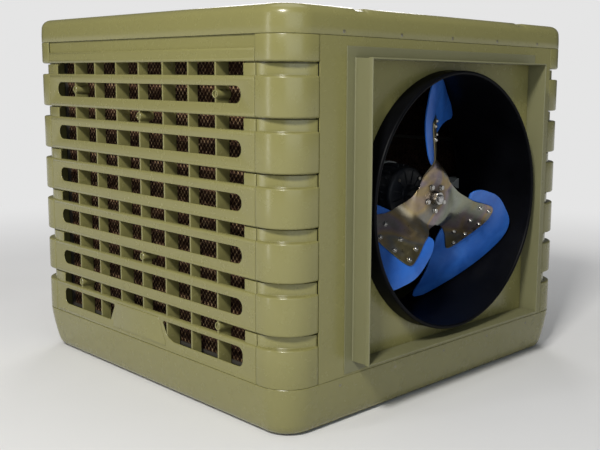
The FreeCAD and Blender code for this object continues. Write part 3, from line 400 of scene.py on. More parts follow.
class Build:
    """Collects vertices and faces of one piece."""

    def __init__(self):
        self.v = []
        self.f = []

    def add(self, vertices, faces):
        start = len(self.v)
        self.v.extend(tuple(p) for p in vertices)
        self.f.extend(tuple(start + i for i in face) for face in faces)
        return self

    def box(self, x0, x1, y0, y1, z0, z1):
        pts = [(x, y, z) for x in (x0, x1) for y in (y0, y1) for z in (z0, z1)]
        self.add(pts, [(0, 1, 3, 2), (4, 6, 7, 5), (0, 4, 5, 1), (2, 3, 7, 6), (0, 2, 6, 4),
                       (1, 5, 7, 3)])

    def loft(self, rings, closed=True, caps=True, looped=False):
        """Join rings of equal length; caps close the first and the last ring."""
        n = len(rings[0])
        faces = []
        spans = len(rings) if looped else len(rings) - 1
        for i in range(spans):
            j = (i + 1) % len(rings)
            for k in range(n if closed else n - 1):
                m = (k + 1) % n
                faces.append((i * n + k, i * n + m, j * n + m, j * n + k))
        start = len(self.v)
        self.add([p for ring in rings for p in ring], faces)
        if caps and not looped:
            for row in (0, len(rings) - 1):
                self.cap(start + row * n, n)
        return self

    def cap(self, first, count):
        """Fill one flat ring, which may be hollow-sided, with triangles."""
        ring = [Vector(self.v[first + k]) for k in range(count)]
        for tri in tessellate_polygon([ring]):
            self.f.append(tuple(first + k for k in tri))

    def sheet(self, ring):
        """Add a flat ring and fill it."""
        start = len(self.v)
        self.add(ring, [])
        self.cap(start, len(ring))

    def lathe(self, profile, centre, axis, segments=32, closed=False):
        """Turn (radius, distance along the axis) points about an axis through centre."""
        along, side, up = square_to(axis)
        centre = Vector(centre)
        rings = []
        for k in range(segments):
            a = 2 * pi * k / segments
            out = side * cos(a) + up * sin(a)
            rings.append([centre + out * r + along * t for r, t in profile])
        return self.loft(rings, closed, caps=False, looped=True)

    def turned(self, degrees):
        """The same shape turned about the middle of the casing."""
        c = round(cos(radians(degrees)), 12)
        s = round(sin(radians(degrees)), 12)
        return Build().add([(x * c - y * s, x * s + y * c, z) for x, y, z in self.v], self.f)


def fillet(points, radii, steps=4, closed=False):
    """Round the corners of a flat polyline."""
    out = []
    count = len(points)
    for i, (p, r) in enumerate(zip(points, radii)):
        a = Vector(points[i - 1])
        b = Vector(p)
        c = Vector(points[(i + 1) % count])
        u = (a - b).normalized()
        w = (c - b).normalized()
        angle = acos(max(-1, min(1, u.dot(w))))
        if r <= 0 or angle > pi - 0.02 or (not closed and i in (0, count - 1)):
            out.append(tuple(p))
            continue
        reach = min(r / tan(angle / 2), (a - b).length * 0.49, (c - b).length * 0.49)
        radius = reach * tan(angle / 2)
        middle = b + (u + w).normalized() * (radius / sin(angle / 2))
        va = b + u * reach - middle
        vb = b + w * reach - middle
        sweep = atan2(va.x * vb.y - va.y * vb.x, va.dot(vb))
        for k in range(steps + 1):
            t = sweep * k / steps
            out.append((middle.x + va.x * cos(t) - va.y * sin(t),
                        middle.y + va.x * sin(t) + va.y * cos(t)))
    return out


def smooth_table(table, x):
    """Smooth reading of a short (x, value) table."""
    if x <= table[0][0]:
        return table[0][1]
    if x >= table[-1][0]:
        return table[-1][1]
    i = max(k for k in range(len(table) - 1) if table[k][0] < x)
    x0, v0 = table[i]
    x1, v1 = table[i + 1]
    before = table[i - 1] if i > 0 else (2 * x0 - x1, 2 * v0 - v1)
    after = table[i + 2] if i + 2 < len(table) else (2 * x1 - x0, 2 * v1 - v0)
    m0 = (v1 - before[1]) / (x1 - before[0])
    m1 = (after[1] - v0) / (after[0] - x0)
    span = x1 - x0
    t = (x - x0) / span
    return ((2 * t ** 3 - 3 * t ** 2 + 1) * v0 + (t ** 3 - 2 * t ** 2 + t) * span * m0
            + (3 * t ** 2 - 2 * t ** 3) * v1 + (t ** 3 - t ** 2) * span * m1)


def eased(x, start, end):
    """A smooth step from 0 at start to 1 at end."""
    t = min(max((x - start) / (end - start), 0), 1)
    return t * t * (3 - 2 * t)


def arc(centre_x, centre_y, radius, degrees):
    """Points of an arc at the given angles."""
    return [(centre_x + radius * cos(radians(a)),
             centre_y + radius * sin(radians(a))) for a in degrees]


def four_sides(points):
    """One side's (x, y) points repeated by quarter turns into a whole ring."""
    ring = []
    for c, s in ((1, 0), (0, 1), (-1, 0), (0, -1)):
        ring += [(x * c - y * s, x * s + y * c) for x, y in points]
    return ring


# ---- casing walls

def outer_section(deep, ease):
    """Outer line of the banded wall, (depth, height), foot to top; deep is the strip's depth."""
    line = [(1.3, WALL_FOOT), (0.4, WALL_FOOT + 0.6), (0, WALL_FOOT + 1.6)]
    radii = [0, 0, 0]
    for band in range(BANDS):
        foot = TRAY_TOP + band * PITCH
        top = foot + PITCH
        back = deep + UNDERCUT
        line += [(0, foot + RAISED_H), (deep, foot + RAISED_H + 1), (deep, top - GROOVE_H),
                 (back, top - GROOVE_H), (back, top), (0, top)]
        radii += [4, 1.5, 0.8, 0.8, 0.8, 5]
    line += [(0, WALL_HEAD - 1.6), (0.4, WALL_HEAD - 0.6), (1.3, WALL_HEAD)]
    radii += [0, 0, 0]
    return [(d + ease, z) for d, z in fillet(line, radii)]


def inner_section(deep):
    """Inner line of the same wall, top to foot."""
    line = [(WALL, WALL_HEAD)]
    back = deep + UNDERCUT + WALL
    for band in reversed(range(BANDS)):
        shoulder = TRAY_TOP + band * PITCH + RAISED_H - WALL
        top = TRAY_TOP + (band + 1) * PITCH
        line += [(WALL, top + WALL), (back, top + WALL), (back, top - GROOVE_H - WALL),
                 (deep + WALL, top - GROOVE_H - WALL), (deep + WALL, shoulder), (WALL, shoulder)]
    return line + [(WALL, WALL_FOOT)]


def corner_stations(start):
    """(outward x, outward y, base x, base y, ease) round the -X, -Y corner."""
    centre = HALF - CORNER_R
    run = [(start + travel, ease) for travel, ease in EASE] + [(start + 7, 0), (start + 12, 0)]
    stations = [(-1, 0, -HALF, -y, ease) for y, ease in run]
    for k in range(CORNER_STEPS + 1):
        a = radians(180 + 90 * k / CORNER_STEPS)
        nx = cos(a)
        ny = sin(a)
        stations.append((nx, ny, -centre + CORNER_R * nx, -centre + CORNER_R * ny, 0))
    stations += [(0, -1, -x, -HALF, ease) for x, ease in reversed(run)]
    return stations


def edge_distance(x, y, half, radius):
    """Distance from the edge of a rounded square, negative inside it."""
    qx = abs(x) - (half - radius)
    qy = abs(y) - (half - radius)
    return hypot(max(qx, 0), max(qy, 0)) + min(max(qx, qy), 0) - radius


def strip_depth(x, y, nx, ny):
    """How far behind a point of the raised outline the recessed strip lies."""
    low = 0
    high = 60
    for _ in range(30):
        mid = (low + high) / 2
        if edge_distance(x - nx * mid, y - ny * mid, HALF - RECESS, STRIP_CORNER_R) > 0:
            low = mid
        else:
            high = mid
    return high


def make_column():
    """The -X, -Y corner column, with a web behind each of its joints."""
    b = Build()
    rings = []
    for nx, ny, bx, by, ease in corner_stations(JOINT):
        deep = strip_depth(bx, by, nx, ny)
        section = outer_section(deep, ease) + inner_section(deep)
        rings.append([(bx - nx * d, by - ny * d, z) for d, z in section])
    b.loft(rings)
    reach = HALF - GROOVE - 1
    b.box(-reach, PAD_BACK, -JOINT - WALL, -JOINT, WALL_FOOT, WALL_HEAD)
    b.box(-JOINT - WALL, -JOINT, -reach, PAD_BACK, WALL_FOOT, WALL_HEAD)
    return b


column = make_column()
for side, degrees in (("front_left", 0), ("front_right", 90), ("rear_right", 180),
                      ("rear_left", 270)):
    piece("column_" + side + "_shell", column.turned(degrees), "casing_plastic",
          ["column_" + side])

# ---- intake grilles

ROW_HALF = 410
SLOT_HALF = 405
SLOT_H = 38
SLOT_MID = 47.5
RIB_PITCH = 104
RIBS = 7
DEEP_RIB = 39
SHALLOW_RIB = 29
SKIN = 3.2
SCREW_DEPTH = 17.4
# The rim of a hole, rounded from the face inwards: (away from the hole, depth).
HOLE_RIM = ((1.6, 0), (0.8, 0.2), (0.24, 0.75), (0, 1.6))


def stadium(half, radius, mid):
    """A long slot with round ends in (y, z), anticlockwise."""
    angles = range(-90, 91, 18)
    return (arc(half - radius, mid, radius, angles)
            + arc(radius - half, mid, radius, [180 + a for a in angles]))


def shifted(points, amount):
    """Move a closed outline outwards by an amount, anticlockwise outlines only."""
    out = []
    count = len(points)
    for i in range(count):
        a = Vector(points[i - 1])
        b = Vector(points[i])
        c = Vector(points[(i + 1) % count])
        n1 = Vector(((b - a).y, -(b - a).x)).normalized()
        n2 = Vector(((c - b).y, -(c - b).x)).normalized()
        n = n1 + n2
        n = n / max(0.3, 0.5 * n.length_squared) if n.length > 1e-6 else n1
        out.append((b.x + n.x * amount, b.y + n.y * amount))
    return out


def face_with_holes(b, outer, holes, x):
    """A flat face in the plane x, with round-edged holes through the skin behind it."""
    rims = [shifted(hole, HOLE_RIM[0][0]) for hole in holes]
    loops = [[Vector((y, z, 0)) for y, z in loop] for loop in [outer] + rims]
    flat = [p for loop in loops for p in loop]
    faces = tessellate_polygon(loops)
    for plane in (x, x + SKIN):
        b.add([(plane, p.x, p.y) for p in flat], faces)
    for hole, rim in zip(holes, rims):
        rings = [[(x + deep, y, z) for y, z in shifted(hole, away)] for away, deep in HOLE_RIM]
        rings.append([(x + SKIN, y, z) for y, z in rim])
        b.loft(rings, caps=False)


def low_slots():
    """The lowest band's two slots either side of the blank plate, in (y, z)."""
    z0 = TRAY_TOP + 28
    z1 = TRAY_TOP + 74
    left = [(159, z0), (SLOT_HALF, z0), (SLOT_HALF, z1), (135, z1)]
    right = [(-SLOT_HALF, z0), (-134, z0), (-106, z0 + 10), (-86, z1), (-SLOT_HALF, z1)]
    return [fillet(left, (5, 17, 17, 5), 6, True), fillet(right, (17, 30, 24, 5, 17), 6, True)]


def screw_boss(b, x, y, z):
    """A tapering boss with a sunk mouth."""
    b.lathe([(0, 38), (11.5, 38), (10, 8), (9.7, 1), (9, 0), (7.4, 0),
             (6.7, 0.8), (6.4, 16), (0, 16)], (x, y, z), (1, 0, 0), 24)


def boss_places():
    """The (y, z) of a grille's six screws."""
    side = (RIBS // 2) * RIB_PITCH
    high = TRAY_TOP + 5 * PITCH + SLOT_MID
    row_2, row_5, row_6 = [TRAY_TOP + band * PITCH + RAISED_H + 17 for band in (4, 1, 0)]
    return [(side, high), (-side, high), (0, row_2), (0, row_5), (side, row_6), (-side, row_6)]


def cross_screw(b, centre, axis, radius, height):
    """A pan head with a cross recess, standing at centre and facing along axis."""
    crown = ((0, 0), (1, 0), (1, 0.25), (0.93, 0.62), (0.75, 0.86), (0.52, 1),
             (0.5, 0.55), (0, 0.45))
    b.lathe([(r * radius, t * height) for r, t in crown], centre, axis, 24)
    along, side, up = square_to(axis)
    foot = Vector(centre) + along * (0.45 * height)
    for k in range(4):
        a = radians(45 + 90 * k)
        out = side * cos(a) + up * sin(a)
        over = along.cross(out)
        wedge = [foot + out * (o * radius) + over * (w * radius)
                 for o, w in ((0.36, 0.3), (0.58, 0), (0.36, -0.3), (0.22, 0))]
        b.loft([wedge, [p + along * (0.5 * height) for p in wedge]])


def across(b, shape, spans):
    """Run a closed (depth, height) section along the grille through (y, ease) stations."""
    b.loft([[(-HALF + max(d, ease), y, z) for d, z in shape] for y, ease in spans])


def raised_band(b, band):
    """One raised band with its slots; the highest is blank and steps back to the seam."""
    half = LOUVER_HALF
    highest = band == BANDS
    foot = TRAY_TOP + band * PITCH
    low = foot if band else WALL_FOOT
    top = WALL_HEAD if highest else foot + RAISED_H
    z_lo = foot + 8
    z_hi = TOP_STEP_Z - 5 if highest else top - 8
    holes = []
    if band == 0:
        holes = low_slots()
    elif not highest:
        holes = [stadium(SLOT_HALF, SLOT_H / 2, foot + SLOT_MID)]
    inside = half - EASE[-1][0]
    face_with_holes(b, [(-inside, z_lo), (inside, z_lo), (inside, z_hi), (-inside, z_hi)], holes,
                    -HALF)
    left = [(-half + travel, ease) for travel, ease in EASE]
    right = [(half - travel, ease) for travel, ease in EASE]
    for spans in (left, right):
        across(b, [(0, z_lo), (0, z_hi), (SKIN, z_hi), (SKIN, z_lo)], spans)
    if highest:
        step = TOP_STEP
        line = fillet([(0, z_hi), (0, TOP_STEP_Z), (step, TOP_STEP_Z + 1.2), (step, top)],
                      (0, 1.6, 1, 0))
        back = [(step + SKIN, top), (step + SKIN, TOP_STEP_Z - 1), (SKIN, TOP_STEP_Z - 2.5),
                (SKIN, z_hi)]
    else:
        line = fillet([(0, z_hi), (0, top), (GROOVE, top + 1)], (0, 4, 0))
        back = fillet([(GROOVE, top + 1 - SKIN), (SKIN, top - SKIN), (SKIN, z_hi)], (0, 2, 0))
    whole_width = left + right[::-1]
    across(b, line + back, whole_width)
    if band > 0:
        line = fillet([(GROOVE, low), (0, low), (0, z_lo)], (0, 4, 0))
        back = fillet([(SKIN, z_lo), (SKIN, low + SKIN), (GROOVE, low + SKIN)], (0, 1.5, 0))
    else:
        line = [(1.3, low), (0.4, low + 0.6), (0, low + 1.6), (0, z_lo)]
        back = [(SKIN, z_lo), (SKIN, low)]
    across(b, line + back, whole_width)


def strip_ends(b, band):
    """The recessed strip over a band: solid at both ends, open between them."""
    shoulder = TRAY_TOP + band * PITCH + RAISED_H - 1
    high = TRAY_TOP + (band + 1) * PITCH
    deep = RECESS + SKIN
    line = [(RECESS, shoulder), (RECESS, high - GROOVE_H), (GROOVE, high - GROOVE_H),
            (GROOVE, high + 1), (GROOVE + SKIN, high + 1),
            (GROOVE + SKIN, high - GROOVE_H - SKIN), (deep, high - GROOVE_H - SKIN),
            (deep, shoulder)]
    shape = fillet(line, (0, 0.8, 0.8, 0, 0, 1, 1, 0), 3, True)
    half = LOUVER_HALF
    for sign in (-1, 1):
        rings = []
        for y, ease in ((ROW_HALF, 1.2), (ROW_HALF + 1.5, 0), (half - 1.4, 0),
                        (half - 0.6, 0.4), (half, 1.3)):
            rings.append([(-HALF + (d + ease if d < RECESS + 1 else d), sign * y, z)
                          for d, z in shape])
        b.loft(rings)


def upright_rib(b, number):
    """A rib behind the slots; every second one is shallow."""
    y = (number - RIBS // 2) * RIB_PITCH
    back = SHALLOW_RIB if number % 2 else DEEP_RIB
    rings = []
    for side, front in ((-2.5, 3.2), (-1.9, 2.6), (1.9, 2.6), (2.5, 3.2)):
        step = front + TOP_STEP
        shape = [(front, WALL_FOOT), (front, TOP_STEP_Z - 1), (step, TOP_STEP_Z + 1),
                 (step, WALL_HEAD), (back, WALL_HEAD), (back, WALL_FOOT)]
        rings.append([(-HALF + d, y + side, z) for d, z in shape])
    b.loft(rings)


def blank_plate(b):
    """The raised plate between the lowest slots, left blank."""
    z0 = TRAY_TOP + 12
    z1 = TRAY_TOP + 80
    plate = fillet([(-104, z0), (146, z0), (122, z1), (-72, z1)], (5, 5, 8, 8), 4, True)
    b.loft([[(-HALF + d, y, z) for y, z in shifted(plate, away)]
            for away, d in ((0, 0.5), (0, -0.9), (-0.5, -1.6), (-1.4, -1.9))])


def make_grille():
    b = Build()
    for band in range(BANDS + 1):
        raised_band(b, band)
        if band < BANDS:
            strip_ends(b, band)
    for number in range(RIBS):
        upright_rib(b, number)
    for y, z in boss_places():
        screw_boss(b, -HALF + 1, y, z)
    blank_plate(b)
    return b


def make_grille_screws():
    b = Build()
    for y, z in boss_places():
        cross_screw(b, (-HALF + SCREW_DEPTH, y, z), (-1, 0, 0), 4.8, 2.6)
    return b


grille = make_grille()
screws = make_grille_screws()
for side, degrees in SIDES:
    body = side + "_cassette"
    piece("grille_" + side, grille.turned(degrees), "casing_plastic", ["louver_" + side], body)
    piece("grille_screws_" + side, screws.turned(degrees), "zinc_screws",
          ["louver_screws_" + side], body)

# ---- cooling pads

FLUTE = 7
WAVE = 16
SHEET_T = 0.9
SHEET_LEAN = 0.36


def make_pad():
    """Fluted paper sheets on edge, glued where their waves cross, and how much painted glint each
    point of the front edge takes.
    """
    b = Build()
    x0 = pad_low.x / MM + 1
    x1 = PAD_BACK - 1
    z0 = pad_low.z / MM + 0.6
    height = pad_high.z / MM - 0.6 - z0
    sheets = int((2 * PAD_HALF - 4) / FLUTE)
    rows = int(height / (WAVE / 5))
    places = [x0, x0 + 2] + [x0 + 2 + (x1 - x0 - 2) * k / 5 for k in range(1, 6)]
    tips = []
    for s in range(sheets):
        y_mid = FLUTE * (s + 0.5 - sheets / 2)
        lean = SHEET_LEAN if s % 2 else -SHEET_LEAN
        shift = pi * (s % 2) + random.uniform(-0.2, 0.2)
        grid = []
        for x in places:
            uneven = random.uniform(0, 1.2) if x in (x0, x1) else 0
            line = []
            for r in range(rows + 1):
                z = z0 + height * r / rows
                wave = sin(2 * pi * (z + (x - x0) * lean) / WAVE + shift)
                line.append((x + uneven, y_mid + 0.49 * FLUTE * wave, z))
                # The crests of the front edge carry the painted glints.
                crest = min(max((abs(wave) - 0.45) / 0.4, 0), 1)
                tips.append(crest if x == x0 else 0)
            grid.append(line)
        b.loft(grid, closed=False, caps=False)
    return b, tips


random.seed(5)
pad_shape, pad_tips = make_pad()
for side, degrees in SIDES:
    pad = piece("fluted_pad_" + side, pad_shape.turned(degrees), "pad_paper",
                ["cooling_pad_" + side], side + "_cassette", sharp=75, weld=False)
    tip = pad.data.attributes.new("tip", "FLOAT", "POINT")
    tip.data.foreach_set("value", pad_tips)
    paper = pad.modifiers.new("paper", "SOLIDIFY")
    paper.thickness = SHEET_T * MM
    paper.offset = 0

# ---- cover

CHANNELS = (-315, 315)
CHANNEL_DROP = 4.5
CHANNEL_EDGE = (15, 17, 20, 23)
LID_FILLET = 26
LID_SKIN = 5.5
LID_STRAIGHT = 12
ARC_STEPS = 16


def channel_drop(x):
    """How far the shallow channels across the lid sink its skin."""
    edge = CHANNEL_EDGE[-1]
    width = edge - CHANNEL_EDGE[0]
    return CHANNEL_DROP * max(eased(edge - abs(x - mid), 0, width) for mid in CHANNELS)


def lid_ring(inset):
    """A rounded square as (x, y), anticlockwise, with points where the lid's channels cross."""
    radius = max(6, CORNER_R - inset)
    flat = HALF - inset - radius
    marks = [mid + sign * d for mid in CHANNELS for sign in (-1, 1) for d in CHANNEL_EDGE]
    marks += [-flat + 2 * flat * k / LID_STRAIGHT for k in range(LID_STRAIGHT + 1)]
    marks = sorted(set(round(m, 3) for m in marks if abs(m) <= flat + 0.001))
    turn = arc(flat, flat, radius, [90 * k / ARC_STEPS for k in range(1, ARC_STEPS)])
    return four_sides([(HALF - inset, m) for m in marks] + turn)


def lid_rings(line):
    """Rings of a rounded-square shell; each line entry is (inset, height, channel share)."""
    return [[(x, y, z - share * channel_drop(x)) for x, y in lid_ring(inset)]
            for inset, z, share in line]


def lid_top(b, inset, z):
    """The flat of the lid inside a given ring."""
    ring = lid_ring(inset)
    points = [Vector(p) for p in ring]
    limit = HALF - inset - 12
    corner_r = max(6, CORNER_R - inset) - 10
    columns = [-480, -420, -360]
    for mid in CHANNELS:
        columns += [mid - d for d in CHANNEL_EDGE[::-1]] + [mid]
        columns += [mid + d for d in CHANNEL_EDGE]
    columns += [-240, -160, -80, 0, 80, 160, 240, 360, 420, 480]
    for x in columns:
        for y in [50 * k for k in range(-10, 11)]:
            past_x, past_y = [max(0, abs(v) - (HALF - CORNER_R)) for v in (x, y)]
            inside = abs(x) < limit and abs(y) < limit
            if inside and past_x ** 2 + past_y ** 2 < corner_r ** 2:
                points.append(Vector((x, y)))
    edges = [(k, (k + 1) % len(ring)) for k in range(len(ring))]
    out, _, faces, _, _, _ = delaunay_2d_cdt(points, edges, [], 1, 0.001)
    b.add([(p.x, p.y, z - channel_drop(p.x)) for p in out], faces)


def make_lid():
    """The lid's two skins, joined at the foot."""
    b = Build()
    edge = [(1.4, SEAM_TOP, 0), (0.4, SEAM_TOP + 0.5, 0), (0, SEAM_TOP + 1.5, 0),
            (0, SEAM_TOP + 20, 0), (0.4, 916, 0), (0.7, 921, 0)]
    for k in range(1, 9):
        a = pi / 2 * k / 8
        edge.append((0.8 + LID_FILLET * (1 - cos(a)),
                     HEIGHT - LID_FILLET + LID_FILLET * sin(a), sin(a) ** 2))
    b.loft(lid_rings(edge), caps=False)
    lid_top(b, edge[-1][0], HEIGHT)
    inner = [(27, HEIGHT - LID_SKIN, 1), (7, 934, 0.2), (WALL + 1, 920, 0),
             (WALL, SEAM_TOP, 0), (1.4, SEAM_TOP, 0)]
    b.loft(lid_rings(inner), caps=False)
    lid_top(b, inner[0][0], HEIGHT - LID_SKIN)
    return b


piece("lid_shell", make_lid(), "casing_plastic", ["top_cover"])

# ---- basin

BASIN_FLOOR = 28
BASIN_UNDER = 22
UNDER_RIB = 489
SCREW_PITCH = 190


def plain_rings(line):
    """Rings of a rounded square; each line entry is (inset, height)."""
    rings = []
    for inset, z in line:
        radius = max(8, CORNER_R - inset * 0.6)
        side = HALF - inset
        flat = side - radius
        turn = arc(flat, flat, radius, [90 * k / ARC_STEPS for k in range(ARC_STEPS + 1)])
        rings.append([(x, y, z) for x, y in four_sides([(side, -flat), (side, 0)] + turn)])
    return rings


def make_basin():
    b = Build()
    outer = [(58, 0), (42, 0), (34, 1.6), (27.5, 5), (22.5, 10), (19, 16.5),
             (16, 25), (13.3, 36), (10.2, 50), (7.2, 66), (4.2, 84), (1.6, 102),
             (0.6, 112), (0, TRAY_TOP - 1.5), (0.8, TRAY_TOP - 0.2), (1.8, TRAY_TOP)]
    inner = [(WALL, TRAY_TOP), (4.5, 100), (7.8, 84), (11, 66), (14, 50),
             (18, 36), (24, BASIN_FLOOR + 1.5), (34, BASIN_FLOOR)]
    walls = plain_rings(outer + inner)
    b.loft(walls, caps=False)
    b.sheet(walls[-1])
    under = plain_rings([(58, 0), (60, BASIN_UNDER)])
    b.loft(under, caps=False)
    b.sheet(under[-1])
    for x0, x1, y0, y1 in ((-8, 8, -UNDER_RIB, UNDER_RIB), (-UNDER_RIB, -8, -8, 8),
                           (8, UNDER_RIB, -8, 8)):
        b.box(x0, x1, y0, y1, 0, BASIN_UNDER + 0.5)
    return b


def make_seam_screws(depth, z):
    """A row of screws across the front wall, set a depth into it."""
    b = Build()
    for k in range(-2, 3):
        place = (SCREW_PITCH * k, -HALF + depth, z)
        cross_screw(b, place, FRONT, 5, 2)
        b.lathe([(0, 14), (2, 14), (2, 0), (5, 0), (0, 0)], place, REAR, 16)
    return b


piece("basin_shell", make_basin(), "casing_plastic", ["bottom_tray"])
piece("cover_screws_heads", make_seam_screws(1.6, 896), "zinc_screws", ["cover_screws"])
piece("tray_screws_heads", make_seam_screws(3.4, 101), "zinc_screws", ["tray_screws"])

# ---- collar

FLANGE = 26


def make_collar():
    """Folded sheet with a flange on the panel and a hemmed front edge."""
    wall = FLANGE_HALF - FLANGE
    front = COLLAR_FRONT
    line = [(wall - 2.5, -HALF), (wall - 2.5, front + 1.2), (wall - 1.5, front),
            (wall + 0.4, front), (wall + 1.5, front + 1.2), (wall + 1.5, front + 11),
            (wall + 0.9, front + 12), (wall, front + 12), (wall, -HALF - 4),
            (wall + 1.4, -HALF - 1.6), (FLANGE_HALF - 0.6, -HALF - 1.5),
            (FLANGE_HALF, -HALF - 0.9), (FLANGE_HALF, -HALF)]
    corners = ((-1, -1), (1, -1), (1, 1), (-1, 1))
    rings = [[(sx * r, y, AXIS_Z + sz * r) for r, y in line] for sx, sz in corners]
    return Build().loft(rings, caps=False, looped=True)


piece("collar_sheet_work", make_collar(), "collar_sheet", ["outlet_collar"], sharp=30)

# ---- shroud

BORE_R = 313
SKIRT_R = 323
BELL_R = 356
TUNNEL_END = -352
BELL_END = -312


def make_shroud():
    """A ring with a rounded lip in front, a flange on the panel and a bell mouth behind."""
    mid = (BORE_R + SKIRT_R) / 2
    lip = (SKIRT_R - BORE_R) / 2
    lip_end = LIP_Y + lip
    flange = -HALF + WALL + 1
    line = arc(mid, lip_end, lip, [-180 + 180 * k / 8 for k in range(9)])
    line += [(SKIRT_R, flange), (BELL_R, flange), (BELL_R, flange + 3),
             (SKIRT_R - 4, flange + 3), (SKIRT_R - 4, lip_end + 2), (BORE_R + 4, lip_end + 2),
             (BORE_R + 4, TUNNEL_END - 5)]
    bell = []
    for k in range(11):
        a = pi / 2 * k / 10
        bell.append((BORE_R + (BELL_R - BORE_R) * (1 - cos(a)),
                     TUNNEL_END + (BELL_END - TUNNEL_END) * sin(a)))
    line += [(r + 3.5, y - 1.5) for r, y in bell[1:]] + bell[::-1]
    return Build().lathe(line, (0, 0, AXIS_Z), REAR, 180, closed=True)


piece("shroud_ring", make_shroud(), "shroud_plastic", ["fan_shroud"], sharp=50)

# ---- fan

ARM_ANGLES = (92, -28, -148)
# Outlines of a blade and of an arm of the spider: (radius, degrees ahead of the arm's middle).
TRAIL = ((107, -30), (114, -33), (128, -33.6), (145, -33), (172, -30), (205, -26.5),
         (231, -22.8), (260, -17.5), (282, -14), (296, -11), (304, -7), (308.5, -1))
LEAD = ((107, 6), (112, 13), (120, 18), (142, 26), (169, 31), (196, 35), (231, 40), (260, 45),
        (278, 48.3), (292, 49.5), (302, 48.5), (308.5, 43))
ARM_TRAIL = ((70, -60), (76, -48), (84, -36), (96, -28), (112, -22.5), (130, -20.2),
             (150, -19.5), (195, -17.5), (205, -16), (210, -13), (212, -9))
ARM_LEAD = ((70, 60), (76, 48), (84, 36), (96, 27), (112, 21.5), (130, 19.7), (150, 19.6),
            (190, 21.8), (203, 22), (209, 19.5), (212, 14))
BLADE_BOLTS = ((159, -14.5), (194, -13.5), (164, -2), (199, -3), (163, 12), (199, 7), (202, 16))
# Depth behind the hub face of an arm and of a blade's tip: (distance ahead of the middle, depth).
ARM_LIFT = ((-110, -50), (-90, -48.5), (-70, -45), (-54, -39.5), (-36, -30), (-18, -16.8),
            (0, 0), (18, 17.3), (36, 33), (54, 46.5), (69, 56.5), (102, 73), (135, 87),
            (170, 102), (210, 119), (240, 131))
TIP_LIFT = ((-110, -50), (-63, -43), (-25, -31), (10, -11), (42, 9), (72, 29), (100, 48),
            (128, 66), (160, 86), (191, 102), (215, 113), (240, 124))
BLADE_T = 4.5
SPIDER_T = 3
SHAFT_R = 10
HUB_BOLT_R = 33


def lift(radius, across):
    """The depth of the fan surface behind the hub face: none at the hub, full at the arms."""
    outer = eased(radius, 195, 308)
    depth = smooth_table(ARM_LIFT, across) * (1 - outer) + smooth_table(TIP_LIFT, across) * outer
    return depth * eased(radius, 70, 114)


def fan_point(radius, phi, arm, offset):
    """A point on a pitched surface, phi degrees ahead of the arm's middle."""
    a = radians(arm)
    across = radius * sin(radians(phi))
    along = radius * cos(radians(phi))
    lean = (lift(radius, across + 2) - lift(radius, across - 2)) / 4
    ahead = Vector((sin(a), 0, -cos(a)))
    point = Vector((along * cos(a), HUB_Y + lift(radius, across),
                    AXIS_Z + along * sin(a)))
    back = Vector(REAR) - ahead * lean
    return point + ahead * across + back * (offset / hypot(1, lean))


def about_axis(radius, degrees, y):
    """A point at a radius and angle about the fan's axis."""
    a = radians(degrees)
    return Vector((radius * cos(a), y, AXIS_Z + radius * sin(a)))


def pitched_sheet(b, radii, trail, lead, arm, front, back, across):
    """Add a plate on a pitched surface, closed all round; front and back give its offsets."""
    near = []
    far = []
    for r in radii:
        p0 = smooth_table(trail, r)
        p1 = smooth_table(lead, r)
        phis = [p0 + (p1 - p0) * k / across for k in range(across + 1)]
        near.append([fan_point(r, p, arm, front(r)) for p in phis])
        far.append([fan_point(r, p, arm, back(r)) for p in phis])
    shells = [near, far]
    for k in (0, -1):
        shells.append([near[k], far[k]])
        shells.append([[row[k] for row in near], [row[k] for row in far]])
    for shell in shells:
        b.loft(shell, closed=False, caps=False)
    return b


def make_blade(arm):
    radii = [107, 109, 112, 116, 121, 128] + [128 + 7.4 * k for k in range(1, 23)]
    radii += [295, 299, 302, 305, 307.2, 308.5]
    return pitched_sheet(Build(), radii, TRAIL, LEAD, arm, lambda r: 0, lambda r: BLADE_T, 30)


def dish(r):
    """The boss in the middle of the plate is pressed slightly forward."""
    return -0.4 - 1.2 * (1 - eased(r, 44, 66))


def make_spider():
    """Three arms that meet at the hub, without the doubled walls where they meet."""
    b = Build()
    radii = [10.2, 22, 30, 44, 56, 64, 70, 73, 76, 80, 84, 90, 96, 104, 112, 120, 128, 138, 150,
             162, 174, 186, 196, 202, 206, 209, 211, 212]
    for arm in ARM_ANGLES:
        pitched_sheet(b, radii, ARM_TRAIL, ARM_LEAD, arm, lambda r: dish(r) - SPIDER_T, dish, 20)
    seen = {}
    for face in b.f:
        key = tuple(sorted(tuple(round(c, 2) for c in b.v[i]) for i in face))
        seen.setdefault(key, []).append(face)
    b.f = [faces[0] for faces in seen.values() if len(faces) == 1]
    return b


def hexagon(b, centre, axis, width, height, turn):
    """A hexagonal nut or head with chamfered corners."""
    along, side, up = square_to(axis)
    centre = Vector(centre)
    rings = []
    for t, share in ((0, 0.93), (0.1, 1), (0.9, 1), (1, 0.93)):
        ring = []
        for k in range(24):
            a = 2 * pi * k / 24 + turn
            r = width / 2 / cos((k % 4 - 2) * pi / 12)
            if share < 1:
                r = min(r, width / sqrt(3) * share)
            out = side * cos(a) + up * sin(a)
            ring.append(centre + along * (t * height) + out * r)
        rings.append(ring)
    return b.loft(rings)


def thread(b, start, axis, radius, length, pitch, segments):
    """A threaded end: fine rings with a chamfered tip."""
    profile = [(0, 0)]
    t = 0
    while t < length - pitch:
        profile += [(radius * 0.86, t), (radius, t + pitch / 2)]
        t += pitch
    profile += [(radius * 0.86, t), (radius * 0.75, length), (0, length)]
    b.lathe(profile, start, axis, segments)


